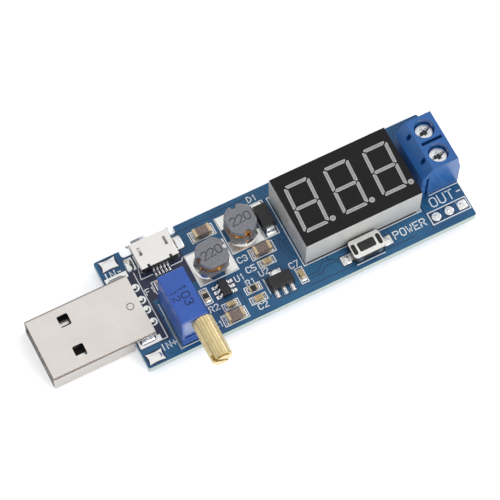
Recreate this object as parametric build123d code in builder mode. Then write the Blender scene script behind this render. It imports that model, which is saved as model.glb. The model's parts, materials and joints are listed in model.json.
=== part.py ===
"""A small USB supply board with a three-digit meter, built as separate pieces.

Every piece is drawn in the board's own coordinates: X runs along the board from the
plug end to the screw-terminal end, Y runs across it, Z points up, and zero is the
near corner of the board's upper face at the plug end. The plane called deck carries
those coordinates into the object's frame, whose origin lies under the middle of the
whole object, on the surface it stands on. All sizes are in millimetres.
"""
import os
from math import cos, pi, radians, sin

from build123d import *

# ---------------------------------------------------------------- driving dimensions
# Board
supply_length = 32.7          # room for the supply parts, from the plug end to the display
board_width = 21.9
board_thickness = 1.6
board_corner = 0.4
pad_thickness = 0.05          # tinned copper standing above the board
pad_margin = 0.35             # how far a pad reaches past the lead that sits on it
ring_margin = 0.3             # width of the ring of copper round a plated hole
hole_clearance = 0.15         # between a through lead and the wall of its hole
standoff = 3.0                # board top above the surface the object stands on
lead_stub = 1.4               # how far the solder joints reach below the board
lead_tip_cover = 0.1          # solder below the tip of a lead

# USB plug
plug_width = 12.0
plug_height = 4.5
plug_wall = 0.3
plug_corner = 0.55
plug_reach = 15.45            # how far the plug stands out past the board
plug_lap = 3.85               # how far its top plate lies over the board
plug_edge_gap = 0.1           # between the lower half of the shell and the board edge
plug_mouth_depth = 11.9
plug_rear_setback = 0.35      # from the rear of the shell to the rear of the tongue's block
tongue_height = 1.95
tongue_setback = 0.4
plug_window_length = 2.0
plug_window_width = 2.25
plug_window_inset = 6.25      # from the mouth to the middle of a window
plug_window_offset = 3.1      # from the plug's middle line to the middle of a window
plug_contact_offsets = (-3.5, -1.0, 1.0, 3.5)
plug_contact_width = 1.0
plug_contact_thickness = 0.2
plug_contact_setback = 0.8    # from the tip of the tongue to the tips of its contacts
plug_contact_riser_x = -1.2   # where a contact turns up, past the board's end
plug_tail_drop = 0.3          # from the inside of the shell to the contact tails
plug_tail_width = 0.6
plug_tail_x = 4.5             # row of holes that takes the contact tails
plug_tail_tip_cover = 0.3
plug_leg_length = 2.2
plug_leg_drop = 0.9           # how far the shell's legs reach below the board
plug_leg_solder = 0.5         # solder round a leg, below the board
plug_slot_dip = 0.15          # the solder in a slot stops this far below the board's face
plug_slot_length = 3.0
plug_slot_width = 1.2
plug_slot_x = 2.2
plug_slot_shift = 0.3         # the slots lie this much further out than the shell's legs
plug_window_corner = 0.3
plug_dimple_radius = 0.7
plug_dimple_line = 0.16
plug_dimple_setback = 1.85    # from the rear of the shell
plug_dimple_shift = 0.25

# Micro socket
socket_x = 10.15
socket_width = 7.4
socket_depth = 5.2
socket_height = 2.5
socket_wall = 0.25
socket_chamfer_width = 0.8
socket_chamfer_height = 1.0
socket_lip = 0.35
socket_lip_inset = 0.6        # the upper lip stops this far short of each side
socket_side_lip_height = 0.9
socket_front_setback = 0.7    # from the far board edge to the front of the shell
socket_tongue_width = 3.9
socket_tongue_height = 0.6
socket_tongue_top_gap = 0.4   # between the tongue and the shell above it
socket_tongue_setback = 0.7
socket_block_depth = 1.3      # insulator behind the tongue
socket_contact_setback = 1.2
socket_pin_pitch = 0.65
socket_pin_width = 0.3
socket_pin_thickness = 0.15
socket_pin_foot = 0.9
socket_slot_length = 1.6
socket_slot_width = 0.6
socket_slot_offset = 2.45     # from the socket's middle line
socket_slot_setback = 2.0     # from its front to the middle of a slot
socket_peg_offset = 2.1
socket_peg_size = 0.5
bay_length = 10.5             # bay in the board edge under the socket's mouth
bay_depth = 1.43
bay_corner = 0.6

# Trimmer potentiometer
trimmer_x = 9.42
trimmer_y = 5.87
trimmer_width = 4.83
trimmer_length = 9.53
trimmer_height = 10.0
trimmer_wall = 0.6
trimmer_side_wall = 0.5
trimmer_front_wall = 1.2
trimmer_foot = 0.3
trimmer_potting_height = 0.9
trimmer_foot_size = 0.8
trimmer_recess_margin = 0.4   # border round the shallow recess in the front face
trimmer_recess_bottom = 2.9
trimmer_recess_top = 9.2
trimmer_recess_depth = 0.25
screw_side_inset = 1.23       # screw axis from the side face
screw_top_inset = 1.9         # screw axis from the top face
screw_radius = 0.7
thread_depth = 0.25
thread_length = 5.2
wheel_teeth = 33
wheel_pitch_radius = 3.0
wheel_thickness = 0.7
wheel_shift = 0.35            # the wheel's axis lies this far behind the trimmer's middle
wheel_journal_radius = 0.8
wheel_boss_radius = 1.2
tooth_addendum = 0.1
tooth_dedendum = 0.2
mesh_clearance = 0.06
running_gap = 0.05
seal_step = 0.65              # from the seal's outer face to the screw's collar
thread_tooth = 0.26           # width of the thread at its root
seal_radius = 1.05
seal_length = 0.55
collar_depth = 1.2
knob_radius = 1.9
knob_length = 8.0
knob_gap = 0.1
knob_flutes = 20
knob_flute_radius = 0.2
knob_end_chamfer = 0.3
knob_slot_width = 0.7
knob_slot_depth = 1.25
knob_slot_angle = 35.0
knob_bore_depth = 3.0
element_thickness = 0.7
wiper_room = 1.0              # between the element and the wheel's boss
wiper_width = 0.6
wiper_thickness = 0.15
trimmer_pin_pitch = 2.54
trimmer_pin_radius = 0.25

# Display
display_length = 22.5         # the board grows with it
display_width = 14.0
display_height = 7.2
display_lift = 0.35           # gap between the display and the board, kept by its feet
display_end_setback = 8.6     # from the display to the terminal end of the board
display_y = 12.12
display_foot = 1.6
display_wall = 0.9
display_face_thickness = 0.06
display_board_thickness = 1.0
display_recess = 2.4          # open underside that takes the inner board and resin
display_potting_height = 0.8
digit_pitch = 7.62
digit_height = 8.83           # between the middle lines of the top and bottom segments
digit_width = 4.3             # between the middle lines of the side segments
digit_lean = 3.6              # degrees
segment_stroke = 0.62
segment_gap = 0.2
point_radius = 0.5
point_offset_x = 2.85
point_offset_y = -4.27
die_size = 0.3
display_pin_pitch = 2.54
display_pins_per_row = 6
display_row_spacing = 10.16
display_pin_size = 0.5
segment_mould_depth = 0.5     # the segments' openings start this far below the inner board's face

# Board length: the supply parts, then the display, then the button end with the terminals
board_length = supply_length + display_length + display_end_setback

# Button
switch_end_setback = 20.4     # from the button's middle to the terminal end of the board
switch_y = 2.88
switch_length = 6.0
switch_width = 3.5
switch_height = 2.2
switch_cover_thickness = 0.2
switch_corner = 0.6
switch_window_length = 3.2
switch_window_width = 1.7
switch_window_corner = 0.3
switch_oval_length = 2.1
switch_oval_width = 0.8
switch_oval_offset = 2.4
switch_hook_offset = 1.9
switch_hook_width = 0.9
switch_hook_thickness = 0.07
plunger_side_gap = 0.06
plunger_rise = 0.3
plunger_flange = 0.15
button_travel = 0.25
dome_height = 0.3
dome_thickness = 0.05
switch_lead_length = 1.6
switch_lead_width = 1.4
switch_lead_thickness = 0.15
switch_lead_shift = 0.25      # the leads lie this far towards the near side
switch_lead_knee = 0.35       # from the switch's end to the fold in a lead
switch_lead_root = 0.9        # how far a lead reaches into the base
switch_pocket_floor = 0.45    # above the underside of the base

# Screw terminal block
pole_pitch = 5.08
pole_count = 2
terminal_y = 12.22
terminal_front = 0.05         # stands out past the board edge
terminal_depth = 7.5
terminal_height = 10.0
terminal_top_front_inset = 0.7
terminal_top_back_inset = 1.85
terminal_back_shoulder = 7.4
terminal_front_ledge = 6.6
terminal_ledge_step = 0.15
terminal_floor = 0.85
well_front_inset = 3.22       # screw axis from the front of the block
well_radius = 1.8
well_bottom = 5.55
cage_length = 5.0
cage_width = 3.9
cage_height = 4.6
cage_wall = 0.5
cage_gap = 0.05
cage_front_inset = 0.95
entry_width = 3.2
entry_height = 3.5
screw_head_radius = 1.65
screw_head_height = 1.0
screw_head_depth = 1.4        # head below the top of the block at rest
screw_shank_radius = 1.2
screw_shank_length = 3.2
screw_slot_width = 0.45
screw_slot_depth = 0.45
cross_slot_width = 0.75
cross_slot_length = 1.6
cross_slot_depth = 0.7
screw_slot_angles = (8.0, 20.0)
plate_thickness = 0.3
plate_width = 2.5
plate_length = 3.2
plate_shift = 0.1
clamp_travel = 2.0
terminal_pin_width = 1.0
terminal_pin_thickness = 0.8
terminal_slot_width = 0.6
terminal_slot_depth = 1.5
terminal_slot_margin = 0.5
oval_length = 1.45
oval_width = 0.85
oval_depth = 1.0
oval_rise = 0.68              # how far up the slope its middle lies, as a share
key_width = 0.8               # dovetail that joins one block to the next
key_depth = 0.45
key_height = 7.0
key_back_inset = 1.1
key_neck = 0.3                # how much narrower the dovetail is at its neck
key_clearance = 0.05

# Surface-mount parts: length, width, height, length of one metal end
large_chip = (3.2, 1.6, 1.5, 0.55)
small_chip = (1.6, 0.8, 0.8, 0.32)
resistor_chip = (1.6, 0.8, 0.45, 0.3)
fuse_chip = (3.2, 1.6, 0.85, 0.5)
chip_end_skin = 0.03          # the metal ends stand this much outside the body
inductor_length = 5.8
inductor_width = 5.2
inductor_height = 4.5
flange_thickness = 0.95
inductor_post_radius = 1.5
winding_radius = 2.4
inductor_notch_radius = 0.55
inductor_plate = 0.25
inductor_pad_length = 2.4
inductor_pad_width = 6.1
inductor_pad_overlap = 0.9
diode_length = 4.3
diode_width = 2.6
diode_height = 2.3
diode_lead_width = 1.45
diode_lead_thickness = 0.2
diode_lead_reach = 0.4        # past the end of the moulding
diode_lead_foot = 1.1
diode_seam = 1.1              # height of the moulding's parting line
mould_taper = 6.0             # degrees
body_gap = 0.1                # under a moulded body
regulator_length = 4.5
regulator_width = 2.5
regulator_height = 1.5
regulator_pitch = 1.5
regulator_lead_width = 0.5
regulator_lead_length = 1.1
regulator_lead_height = 0.4
regulator_tab_width = 1.75
regulator_tab_reach = 0.15    # from the moulding to the middle of the tab's round end
converter_length = 2.9
converter_width = 1.6
converter_height = 1.1
converter_pitch = 0.95
converter_lead_span = 2.9
converter_lead_width = 0.4
converter_lead_thickness = 0.15
converter_lead_height = 0.72
converter_lead_knee = 0.22
controller_length = 6.5
controller_width = 4.4
controller_height = 1.0
controller_pitch = 0.65
controller_leads_per_side = 10
controller_lead_width = 0.24
controller_lead_thickness = 0.12
controller_lead_height = 0.6
controller_lead_knee = 0.3
controller_lead_reach = 1.0
chip_gap = 0.08               # under a small chip's moulding
lead_root = 0.2               # how far a chip's lead reaches into its moulding
header_pitch = 2.54
header_pins = 3
header_end_setback = 1.44
header_y = 2.78
header_pad_radius = 0.85
header_hole = 0.5
header_solder_height = 0.15
header_joint_depth = 0.3
joint_radius = 0.85
joint_taper = 14.0            # degrees

# Where the parts stand on the board: X, Y and the axis that their length follows
large_capacitor_places = ((19.35, 18.45, "X"), (27.2, 10.85, "X"), (17.45, 1.95, "X"))
small_capacitor_places = (
    (26.95, 8.58, "X"),
    (22.55, 3.08, "X"),
    (17.8, 4.2, "X"),
    (31.2, 3.6, "Y"),
)
resistor_places = ((22.57, 5.2, "X"), (14.62, 7.5, "Y"))
fuse_place = (9.75, 12.95, "X")
inductor_places = ((18.35, 12.75, 5.0), (25.62, 16.15, 92.0))
diode_place = (30.2, 15.95)
regulator_place = (27.3, 4.2)
converter_place = (18.1, 7.3)
controller_place = (22.0, 10.9)
back_resistor_places = ((15.5, 13.8, "Y"), (15.5, 8.2, "Y"), (29.0, 13.0, "X"), (29.0, 9.0, "X"))

# Pads: length and width, and where they lie
input_pad_size = (3.0, 2.0)
socket_pad_size = (1.5, 2.5)
socket_pad_setback = 2.4      # from the socket's front to the middle of a side pad
socket_pin_pad_size = (0.4, 1.3)
diode_pad_size = (1.8, 1.7)
regulator_pad_size = (0.8, 1.5)
regulator_tab_pad_size = (2.1, 2.4)
converter_pad_size = (1.0, 0.6)
switch_pad_size = (1.7, 1.7)
pad_gap = 0.1                 # between a side pad and the socket's shell
input_pad_inset = 0.5         # from the plug end and the near side of the board
far_input_pad_inset = (0.8, 0.4)

# ---------------------------------------------------------------- places worked out
board_bottom = -board_thickness
plug_y = board_width / 2
plug_top = plug_height - standoff
plug_bottom = -standoff
display_x0 = supply_length
display_x1 = display_x0 + display_length
display_x = (display_x0 + display_x1) / 2
display_top = display_lift + display_height
switch_x = board_length - switch_end_setback
terminal_x1 = board_length + terminal_front
terminal_x0 = terminal_x1 - terminal_depth
terminal_length = pole_pitch * pole_count
terminal_y0 = terminal_y - terminal_length / 2
well_x = terminal_x1 - well_front_inset
pole_ys = [terminal_y + pole_pitch * (n - (pole_count - 1) / 2) for n in range(pole_count)]
trimmer_x0 = trimmer_x - trimmer_width / 2
trimmer_x1 = trimmer_x + trimmer_width / 2
trimmer_y0 = trimmer_y - trimmer_length / 2
trimmer_y1 = trimmer_y + trimmer_length / 2
screw_x = trimmer_x1 - screw_side_inset
screw_z = trimmer_height - screw_top_inset
knob_y1 = trimmer_y0 - knob_gap
knob_y0 = knob_y1 - knob_length
lead_bottom = board_bottom - lead_stub

# The object's origin: under the middle of its outline
deck_x = (plug_reach - max(terminal_x1, board_length)) / 2
deck_y = -(board_width + knob_y0) / 2
deck = Plane(origin=(deck_x, deck_y, standoff))


# ---------------------------------------------------------------- shared shapes
def spot(x, y, z=0.0):
    """A point of the board's coordinates, in the object's frame."""
    return deck.from_local_coords((x, y, z))


def facing_x(x):
    """An upright plane across the board: sketch X runs along Y, sketch Y points up."""
    return Plane(spot(x, 0), x_dir=(0, 1, 0), z_dir=(1, 0, 0))


def facing_y(y):
    """An upright plane along the board: sketch X runs along X, sketch Y points up."""
    return Plane(spot(0, y), x_dir=(1, 0, 0), z_dir=(0, -1, 0))


def block(x0, x1, y0, y1, z0, z1, mode=Mode.ADD):
    """A box between two corners."""
    with Locations(spot((x0 + x1) / 2, (y0 + y1) / 2, (z0 + z1) / 2)):
        Box(x1 - x0, y1 - y0, z1 - z0, mode=mode)


def centred_block(x, y, length, width, z0, z1, mode=Mode.ADD):
    """A box whose length follows X, from one height to another."""
    block(x - length / 2, x + length / 2, y - width / 2, y + width / 2, z0, z1, mode)


def post(x, y, z0, z1, radius, mode=Mode.ADD):
    """An upright cylinder."""
    with Locations(spot(x, y, (z0 + z1) / 2)):
        Cylinder(radius, z1 - z0, mode=mode)


def rod_along_y(x, z, y0, y1, radius, mode=Mode.ADD):
    """A cylinder that lies along Y."""
    with Locations(Location(spot(x, (y0 + y1) / 2, z), (90, 0, 0))):
        Cylinder(radius, y1 - y0, mode=mode)


def rod_along_x(y, z, x0, x1, radius, mode=Mode.ADD):
    """A cylinder that lies along X."""
    with Locations(Location(spot((x0 + x1) / 2, y, z), (0, 90, 0))):
        Cylinder(radius, x1 - x0, mode=mode)


def save(piece, name):
    """Labels a finished piece and writes it to its own file."""
    piece.part.label = name
    export_step(piece.part, f"parts/{name}.step")


def sized(place, length, width):
    """A chip's extents along X and Y, for a length that follows X or Y."""
    return (length, width) if place[2] == "X" else (width, length)


def chip_heights(chip, down):
    """The bottom and top of a chip, which lies on the board's pads or hangs under them."""
    if down:
        return board_bottom - pad_thickness - chip[2], board_bottom - pad_thickness
    return pad_thickness, pad_thickness + chip[2]


def chip_body(place, chip, down=False):
    """The ceramic between a chip's two metal ends."""
    length, width, _, end = chip
    z0, z1 = chip_heights(chip, down)
    across, along = sized(place, length - 2 * end, width)
    centred_block(place[0], place[1], across, along, z0 + chip_end_skin, z1 - chip_end_skin)


def chip_ends(place, chip, down=False):
    """A chip's two metal ends, a little thicker than its body."""
    length, width, _, end = chip
    z0, z1 = chip_heights(chip, down)
    for side in (-1, 1):
        shift = side * (length - end) / 2
        dx, dy = (shift, 0) if place[2] == "X" else (0, shift)
        across, along = sized(place, end, width + 2 * chip_end_skin)
        centred_block(place[0] + dx, place[1] + dy, across, along, z0, z1)


def chip_pads(place, chip):
    """The two pads under a chip's ends."""
    length, width, _, end = chip
    pad_length = end + 2 * pad_margin
    for side in (-1, 1):
        shift = side * (length - end) / 2
        dx, dy = (shift, 0) if place[2] == "X" else (0, shift)
        across, along = sized(place, pad_length, width + pad_margin / 2)
        centred_block(place[0] + dx, place[1] + dy, across, along, 0, pad_thickness)


os.makedirs("parts", exist_ok=True)

# ---------------------------------------------------------------- places of through leads
plug_tail_places = [(plug_tail_x, plug_y + offset) for offset in plug_contact_offsets]
header_x = board_length - header_end_setback
header_places = [(header_x - header_pitch * n, header_y) for n in range(header_pins)]
display_pin_xs = [
    display_x + display_pin_pitch * (n - (display_pins_per_row - 1) / 2)
    for n in range(display_pins_per_row)
]
display_pin_places = [
    (x, display_y + side * display_row_spacing / 2)
    for side in (-1, 1)
    for x in display_pin_xs
]
trimmer_pin_places = [(trimmer_x, trimmer_y + trimmer_pin_pitch * n) for n in (-1, 0, 1)]
terminal_pin_places = [(well_x, y) for y in pole_ys]
plug_leg_ys = [plug_y - plug_width / 2 + plug_wall / 2, plug_y + plug_width / 2 - plug_wall / 2]
plug_slot_ys = [plug_leg_ys[0] - plug_slot_shift, plug_leg_ys[1] + plug_slot_shift]
lead_tip = lead_bottom + lead_tip_cover

tail_hole = plug_tail_width / 2 + hole_clearance
display_hole = display_pin_size / 2 * 2 ** 0.5 + hole_clearance
trimmer_hole = trimmer_pin_radius + hole_clearance
terminal_hole = (terminal_pin_width ** 2 + terminal_pin_thickness ** 2) ** 0.5 / 2 + hole_clearance

# ---------------------------------------------------------------- circuit board
with BuildPart() as circuit_board:
    with BuildSketch(deck):
        with Locations((board_length / 2, board_width / 2)):
            RectangleRounded(board_length, board_width, board_corner)
        with Locations((socket_x, board_width)):
            RectangleRounded(bay_length, 2 * bay_depth, bay_corner, mode=Mode.SUBTRACT)
        for slot_y in plug_slot_ys:
            with Locations((plug_slot_x, slot_y)):
                SlotOverall(plug_slot_length, plug_slot_width, mode=Mode.SUBTRACT)
        with Locations(*plug_tail_places):
            Circle(tail_hole, mode=Mode.SUBTRACT)
        with Locations(*header_places):
            Circle(header_hole, mode=Mode.SUBTRACT)
        with Locations(*display_pin_places):
            Circle(display_hole, mode=Mode.SUBTRACT)
        with Locations(*trimmer_pin_places):
            Circle(trimmer_hole, mode=Mode.SUBTRACT)
        with Locations(*terminal_pin_places):
            Circle(terminal_hole, mode=Mode.SUBTRACT)
    extrude(amount=-board_thickness)
save(circuit_board, "circuit_board")

# ---------------------------------------------------------------- plug
plug_contact_top = plug_bottom + plug_wall + tongue_height + plug_contact_thickness
plug_contact_bottom = plug_contact_top - plug_contact_thickness
plug_tail_top = plug_top - plug_wall - plug_tail_drop
plug_rear = plug_lap - plug_rear_setback
contact_riser_x = plug_contact_riser_x

with BuildPart() as plug_contacts:
    for offset in plug_contact_offsets:
        y0 = plug_y + offset - plug_contact_width / 2
        y1 = y0 + plug_contact_width
        tail_y0 = plug_y + offset - plug_tail_width / 2
        tail_y1 = tail_y0 + plug_tail_width
        tip_x = -plug_reach + tongue_setback + plug_contact_setback
        tail_x1 = plug_tail_x + plug_contact_thickness / 2
        riser_x1 = contact_riser_x + plug_contact_thickness
        tail_z0 = plug_tail_top - plug_contact_thickness
        block(tip_x, contact_riser_x, y0, y1, plug_contact_bottom, plug_contact_top)
        block(contact_riser_x, riser_x1, tail_y0, tail_y1, plug_contact_bottom, plug_tail_top)
        block(riser_x1, tail_x1, tail_y0, tail_y1, tail_z0, plug_tail_top)
        tail_x0 = tail_x1 - plug_contact_thickness
        block(tail_x0, tail_x1, tail_y0, tail_y1, lead_bottom + plug_tail_tip_cover, tail_z0)
save(plug_contacts, "plug_contacts")

with BuildPart() as plug_tongue:
    inner_y0 = plug_y - plug_width / 2 + plug_wall
    inner_y1 = plug_y + plug_width / 2 - plug_wall
    inner_z0 = plug_bottom + plug_wall
    inner_z1 = plug_top - plug_wall
    tongue_z1 = inner_z0 + tongue_height
    block(-plug_reach + tongue_setback, -plug_edge_gap, inner_y0, inner_y1, inner_z0, tongue_z1)
    block(-plug_reach + plug_mouth_depth, -plug_edge_gap, inner_y0, inner_y1, inner_z0, inner_z1)
    fillet(plug_tongue.part.edges().filter_by(Axis.X), plug_corner - plug_wall)
    block(-plug_edge_gap, plug_rear, inner_y0 + 0.3, inner_y1 - 0.3, 0, inner_z1)
    add(plug_contacts.part, mode=Mode.SUBTRACT)
save(plug_tongue, "plug_tongue")

with BuildPart() as plug_shell:
    with BuildSketch(facing_x(-plug_reach)):
        with Locations((plug_y, (plug_top + plug_bottom) / 2)):
            RectangleRounded(plug_width, plug_height, plug_corner)
            RectangleRounded(
                plug_width - 2 * plug_wall,
                plug_height - 2 * plug_wall,
                plug_corner - plug_wall,
                mode=Mode.SUBTRACT,
            )
    extrude(amount=plug_reach + plug_lap)
    block(-plug_edge_gap, plug_lap + 1, 0, board_width, plug_bottom - 1, 0, Mode.SUBTRACT)
    for leg_y in plug_leg_ys:
        centred_block(plug_slot_x, leg_y, plug_leg_length, plug_wall, board_bottom - plug_leg_drop, 0)
    with BuildSketch(deck.offset(plug_top)):
        for side in (-1, 1):
            with Locations((-plug_reach + plug_window_inset, plug_y + side * plug_window_offset)):
                RectangleRounded(plug_window_length, plug_window_width, plug_window_corner)
    extrude(amount=-plug_wall, mode=Mode.SUBTRACT)
    with BuildSketch(deck.offset(plug_bottom)):
        for side in (-1, 1):
            with Locations((-plug_reach + plug_window_inset, plug_y + side * plug_window_offset)):
                RectangleRounded(plug_window_length, plug_window_width, plug_window_corner)
    extrude(amount=plug_wall, mode=Mode.SUBTRACT)
    with BuildSketch(deck.offset(plug_top)):
        with Locations((plug_lap - plug_dimple_setback, plug_y + plug_dimple_shift)):
            Circle(plug_dimple_radius)
            Circle(plug_dimple_radius - plug_dimple_line, mode=Mode.SUBTRACT)
    extrude(amount=-plug_wall / 2, mode=Mode.SUBTRACT)
    mouth_edges = plug_shell.part.edges().group_by(Axis.X)[0]
    chamfer(mouth_edges, plug_wall / 4)
save(plug_shell, "plug_shell")

# ---------------------------------------------------------------- micro socket
socket_front = board_width - socket_front_setback
socket_back = socket_front - socket_depth
socket_half = socket_width / 2
socket_top = pad_thickness + socket_height


def socket_outline(inset):
    """The socket's section: square above, with its lower corners cut back."""
    half = socket_half - inset
    low = pad_thickness + inset
    corner = socket_chamfer_width * (1 - inset / socket_half)
    Polygon(
        (socket_x - half + corner, low),
        (socket_x + half - corner, low),
        (socket_x + half, low + socket_chamfer_height),
        (socket_x + half, socket_top - inset),
        (socket_x - half, socket_top - inset),
        (socket_x - half, low + socket_chamfer_height),
        align=None,
    )


def socket_pegs(mode=Mode.ADD):
    """The insulator's two pegs, which show in the rear corners of the shell's top."""
    for side in (-1, 1):
        centred_block(
            socket_x + side * socket_peg_offset,
            socket_back + socket_peg_size / 2,
            socket_peg_size,
            socket_peg_size,
            socket_top - socket_wall,
            socket_top,
            mode,
        )


pin_xs = [socket_x + socket_pin_pitch * n for n in (-2, -1, 0, 1, 2)]
tongue_z0 = socket_top - socket_wall - socket_tongue_top_gap - socket_tongue_height
with BuildPart() as micro_contacts:
    for x in pin_xs:
        x0 = x - socket_pin_width / 2
        x1 = x + socket_pin_width / 2
        back = socket_back - socket_pin_thickness
        front = socket_front - socket_contact_setback
        block(x0, x1, back, front, tongue_z0 - socket_pin_thickness, tongue_z0)
        block(x0, x1, back, socket_back, pad_thickness, tongue_z0)
        foot_z1 = pad_thickness + socket_pin_thickness
        block(x0, x1, socket_back - socket_pin_foot, back, pad_thickness, foot_z1)
save(micro_contacts, "micro_contacts")

with BuildPart() as micro_insert:
    with BuildSketch(facing_y(socket_back + socket_block_depth)):
        socket_outline(socket_wall)
    extrude(amount=socket_block_depth)
    block(
        socket_x - socket_tongue_width / 2,
        socket_x + socket_tongue_width / 2,
        socket_back + socket_block_depth,
        socket_front - socket_tongue_setback,
        tongue_z0,
        tongue_z0 + socket_tongue_height,
    )
    socket_pegs()
    add(micro_contacts.part, mode=Mode.SUBTRACT)
save(micro_insert, "micro_insert")

with BuildPart() as micro_shell:
    with BuildSketch(facing_y(socket_front)):
        socket_outline(0)
    extrude(amount=socket_depth)
    with BuildSketch(facing_y(socket_front)):
        socket_outline(socket_wall)
    extrude(amount=socket_depth, mode=Mode.SUBTRACT)
    fillet(micro_shell.part.edges().filter_by(Axis.Y).group_by(Axis.Z)[-1], 0.3)
    for side in (-1, 1):
        slot_place = (socket_x + side * socket_slot_offset, socket_front - socket_slot_setback)
        with BuildSketch(deck.offset(socket_top)):
            with Locations(slot_place):
                RectangleRounded(socket_slot_width, socket_slot_length, 0.12)
        extrude(amount=-socket_wall, mode=Mode.SUBTRACT)
    socket_pegs(Mode.SUBTRACT)
    # The lips that flare out round the mouth: above, below and at each side
    lip_end = socket_front + socket_lip
    for z, rise in ((socket_top, socket_lip), (pad_thickness, -socket_lip)):
        inner = z - socket_wall if rise > 0 else z + socket_wall
        half = socket_half - (socket_lip_inset if rise > 0 else socket_chamfer_width)
        with BuildSketch(facing_x(socket_x - half)):
            Polygon(
                (socket_front, z),
                (socket_front, inner),
                (lip_end, inner + rise),
                (lip_end, z + rise),
                align=None,
            )
        extrude(amount=2 * half)
    for side in (-1, 1):
        outer = socket_x + side * socket_half
        inner = outer - side * socket_wall
        flare = side * socket_lip
        with BuildSketch(deck.offset(pad_thickness + socket_chamfer_height)):
            Polygon(
                (outer, socket_front),
                (inner, socket_front),
                (inner + flare, lip_end),
                (outer + flare, lip_end),
                align=None,
            )
        extrude(amount=socket_side_lip_height)
save(micro_shell, "micro_shell")

# ---------------------------------------------------------------- trimmer
cavity_x0 = trimmer_x0 + trimmer_wall
cavity_x1 = trimmer_x1 - trimmer_side_wall
cavity_y0 = trimmer_y0 + trimmer_front_wall
cavity_y1 = trimmer_y1 - trimmer_wall
cavity_z1 = trimmer_height - trimmer_wall
potting_z1 = trimmer_foot + trimmer_potting_height
collar_y0 = trimmer_y0 + trimmer_wall
collar_y1 = collar_y0 + collar_depth - running_gap
foot_inset = trimmer_foot_size / 2 + 0.1

with BuildPart() as trimmer_housing:
    block(trimmer_x0, trimmer_x1, trimmer_y0, trimmer_y1, trimmer_foot, trimmer_height)
    fillet(trimmer_housing.part.edges().filter_by(Axis.Z), 0.15)
    chamfer(trimmer_housing.part.faces().sort_by(Axis.Z)[-1].edges(), 0.12)
    for x in (trimmer_x0 + foot_inset, trimmer_x1 - foot_inset):
        for y in (trimmer_y0 + foot_inset, trimmer_y1 - foot_inset):
            centred_block(x, y, trimmer_foot_size, trimmer_foot_size, 0, trimmer_foot)
    block(cavity_x0, cavity_x1, cavity_y0, cavity_y1, trimmer_foot, cavity_z1, Mode.SUBTRACT)
    bore = screw_radius + running_gap
    rod_along_y(screw_x, screw_z, trimmer_y0 - 1, cavity_y0 + 1, bore, Mode.SUBTRACT)
    rod_along_y(screw_x, screw_z, collar_y0, collar_y0 + collar_depth, seal_radius, Mode.SUBTRACT)
    # A shallow recess in the front face, behind the knob
    block(
        trimmer_x0 + trimmer_recess_margin,
        trimmer_x1 - trimmer_recess_margin,
        trimmer_y0 - 1,
        trimmer_y0 + trimmer_recess_depth,
        trimmer_recess_bottom,
        trimmer_recess_top,
        Mode.SUBTRACT,
    )
save(trimmer_housing, "trimmer_housing")

with BuildPart() as trimmer_pins:
    for x, y in trimmer_pin_places:
        post(x, y, lead_tip, potting_z1 + 0.1, trimmer_pin_radius)
save(trimmer_pins, "trimmer_pins")

with BuildPart() as trimmer_potting:
    block(cavity_x0, cavity_x1, cavity_y0, cavity_y1, trimmer_foot, potting_z1)
    add(trimmer_pins.part, mode=Mode.SUBTRACT)
save(trimmer_potting, "trimmer_potting")

with BuildPart() as trimmer_element:
    block(
        cavity_x0,
        cavity_x0 + element_thickness,
        cavity_y0 + 0.1,
        cavity_y1 - 0.1,
        potting_z1,
        cavity_z1 - 0.1,
    )
save(trimmer_element, "trimmer_element")

# The worm on the screw turns the toothed wheel
thread_pitch = 2 * pi * wheel_pitch_radius / wheel_teeth
thread_core = screw_radius - thread_depth
tooth_tip = wheel_pitch_radius + tooth_addendum
tooth_root = wheel_pitch_radius - tooth_dedendum
wheel_z = screw_z - thread_core - mesh_clearance - tooth_tip
wheel_y = trimmer_y + wheel_shift
wheel_x0 = screw_x - wheel_thickness / 2
wheel_x1 = screw_x + wheel_thickness / 2
wiper_x1 = cavity_x0 + element_thickness + wiper_room
thread_turns = round(thread_length / thread_pitch)
thread_y0 = wheel_y - thread_pitch * (thread_turns // 2)

with BuildPart() as trimmer_screw:
    rod_along_y(screw_x, screw_z, knob_y1 - knob_bore_depth, collar_y0 + seal_step, screw_radius)
    rod_along_y(screw_x, screw_z, collar_y0 + seal_step, collar_y1, seal_radius - running_gap)
    rod_along_y(screw_x, screw_z, collar_y1, cavity_y1 - running_gap, thread_core)
    with BuildLine() as thread_path:
        Helix(
            thread_pitch,
            thread_turns * thread_pitch,
            thread_core - 0.02,
            center=spot(screw_x, thread_y0, screw_z),
            direction=(0, 1, 0),
        )
    with BuildSketch(Plane(thread_path.line @ 0, x_dir=(0, 0, 1), z_dir=thread_path.line % 0)):
        Polygon(
            (0, -thread_tooth / 2),
            (thread_depth + 0.02, -thread_tooth / 4),
            (thread_depth + 0.02, thread_tooth / 4),
            (0, thread_tooth / 2),
            align=None,
        )
    sweep(path=thread_path.line, is_frenet=True)
save(trimmer_screw, "trimmer_screw")

with BuildPart() as trimmer_seal:
    with Locations(Location(spot(screw_x, collar_y0 + seal_step / 2, screw_z), (90, 0, 0))):
        Cylinder(seal_radius - 0.02, seal_length)
        Cylinder(screw_radius + 0.02, seal_length, mode=Mode.SUBTRACT)
    fillet(trimmer_seal.part.edges(), 0.1)
save(trimmer_seal, "trimmer_seal")

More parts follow.
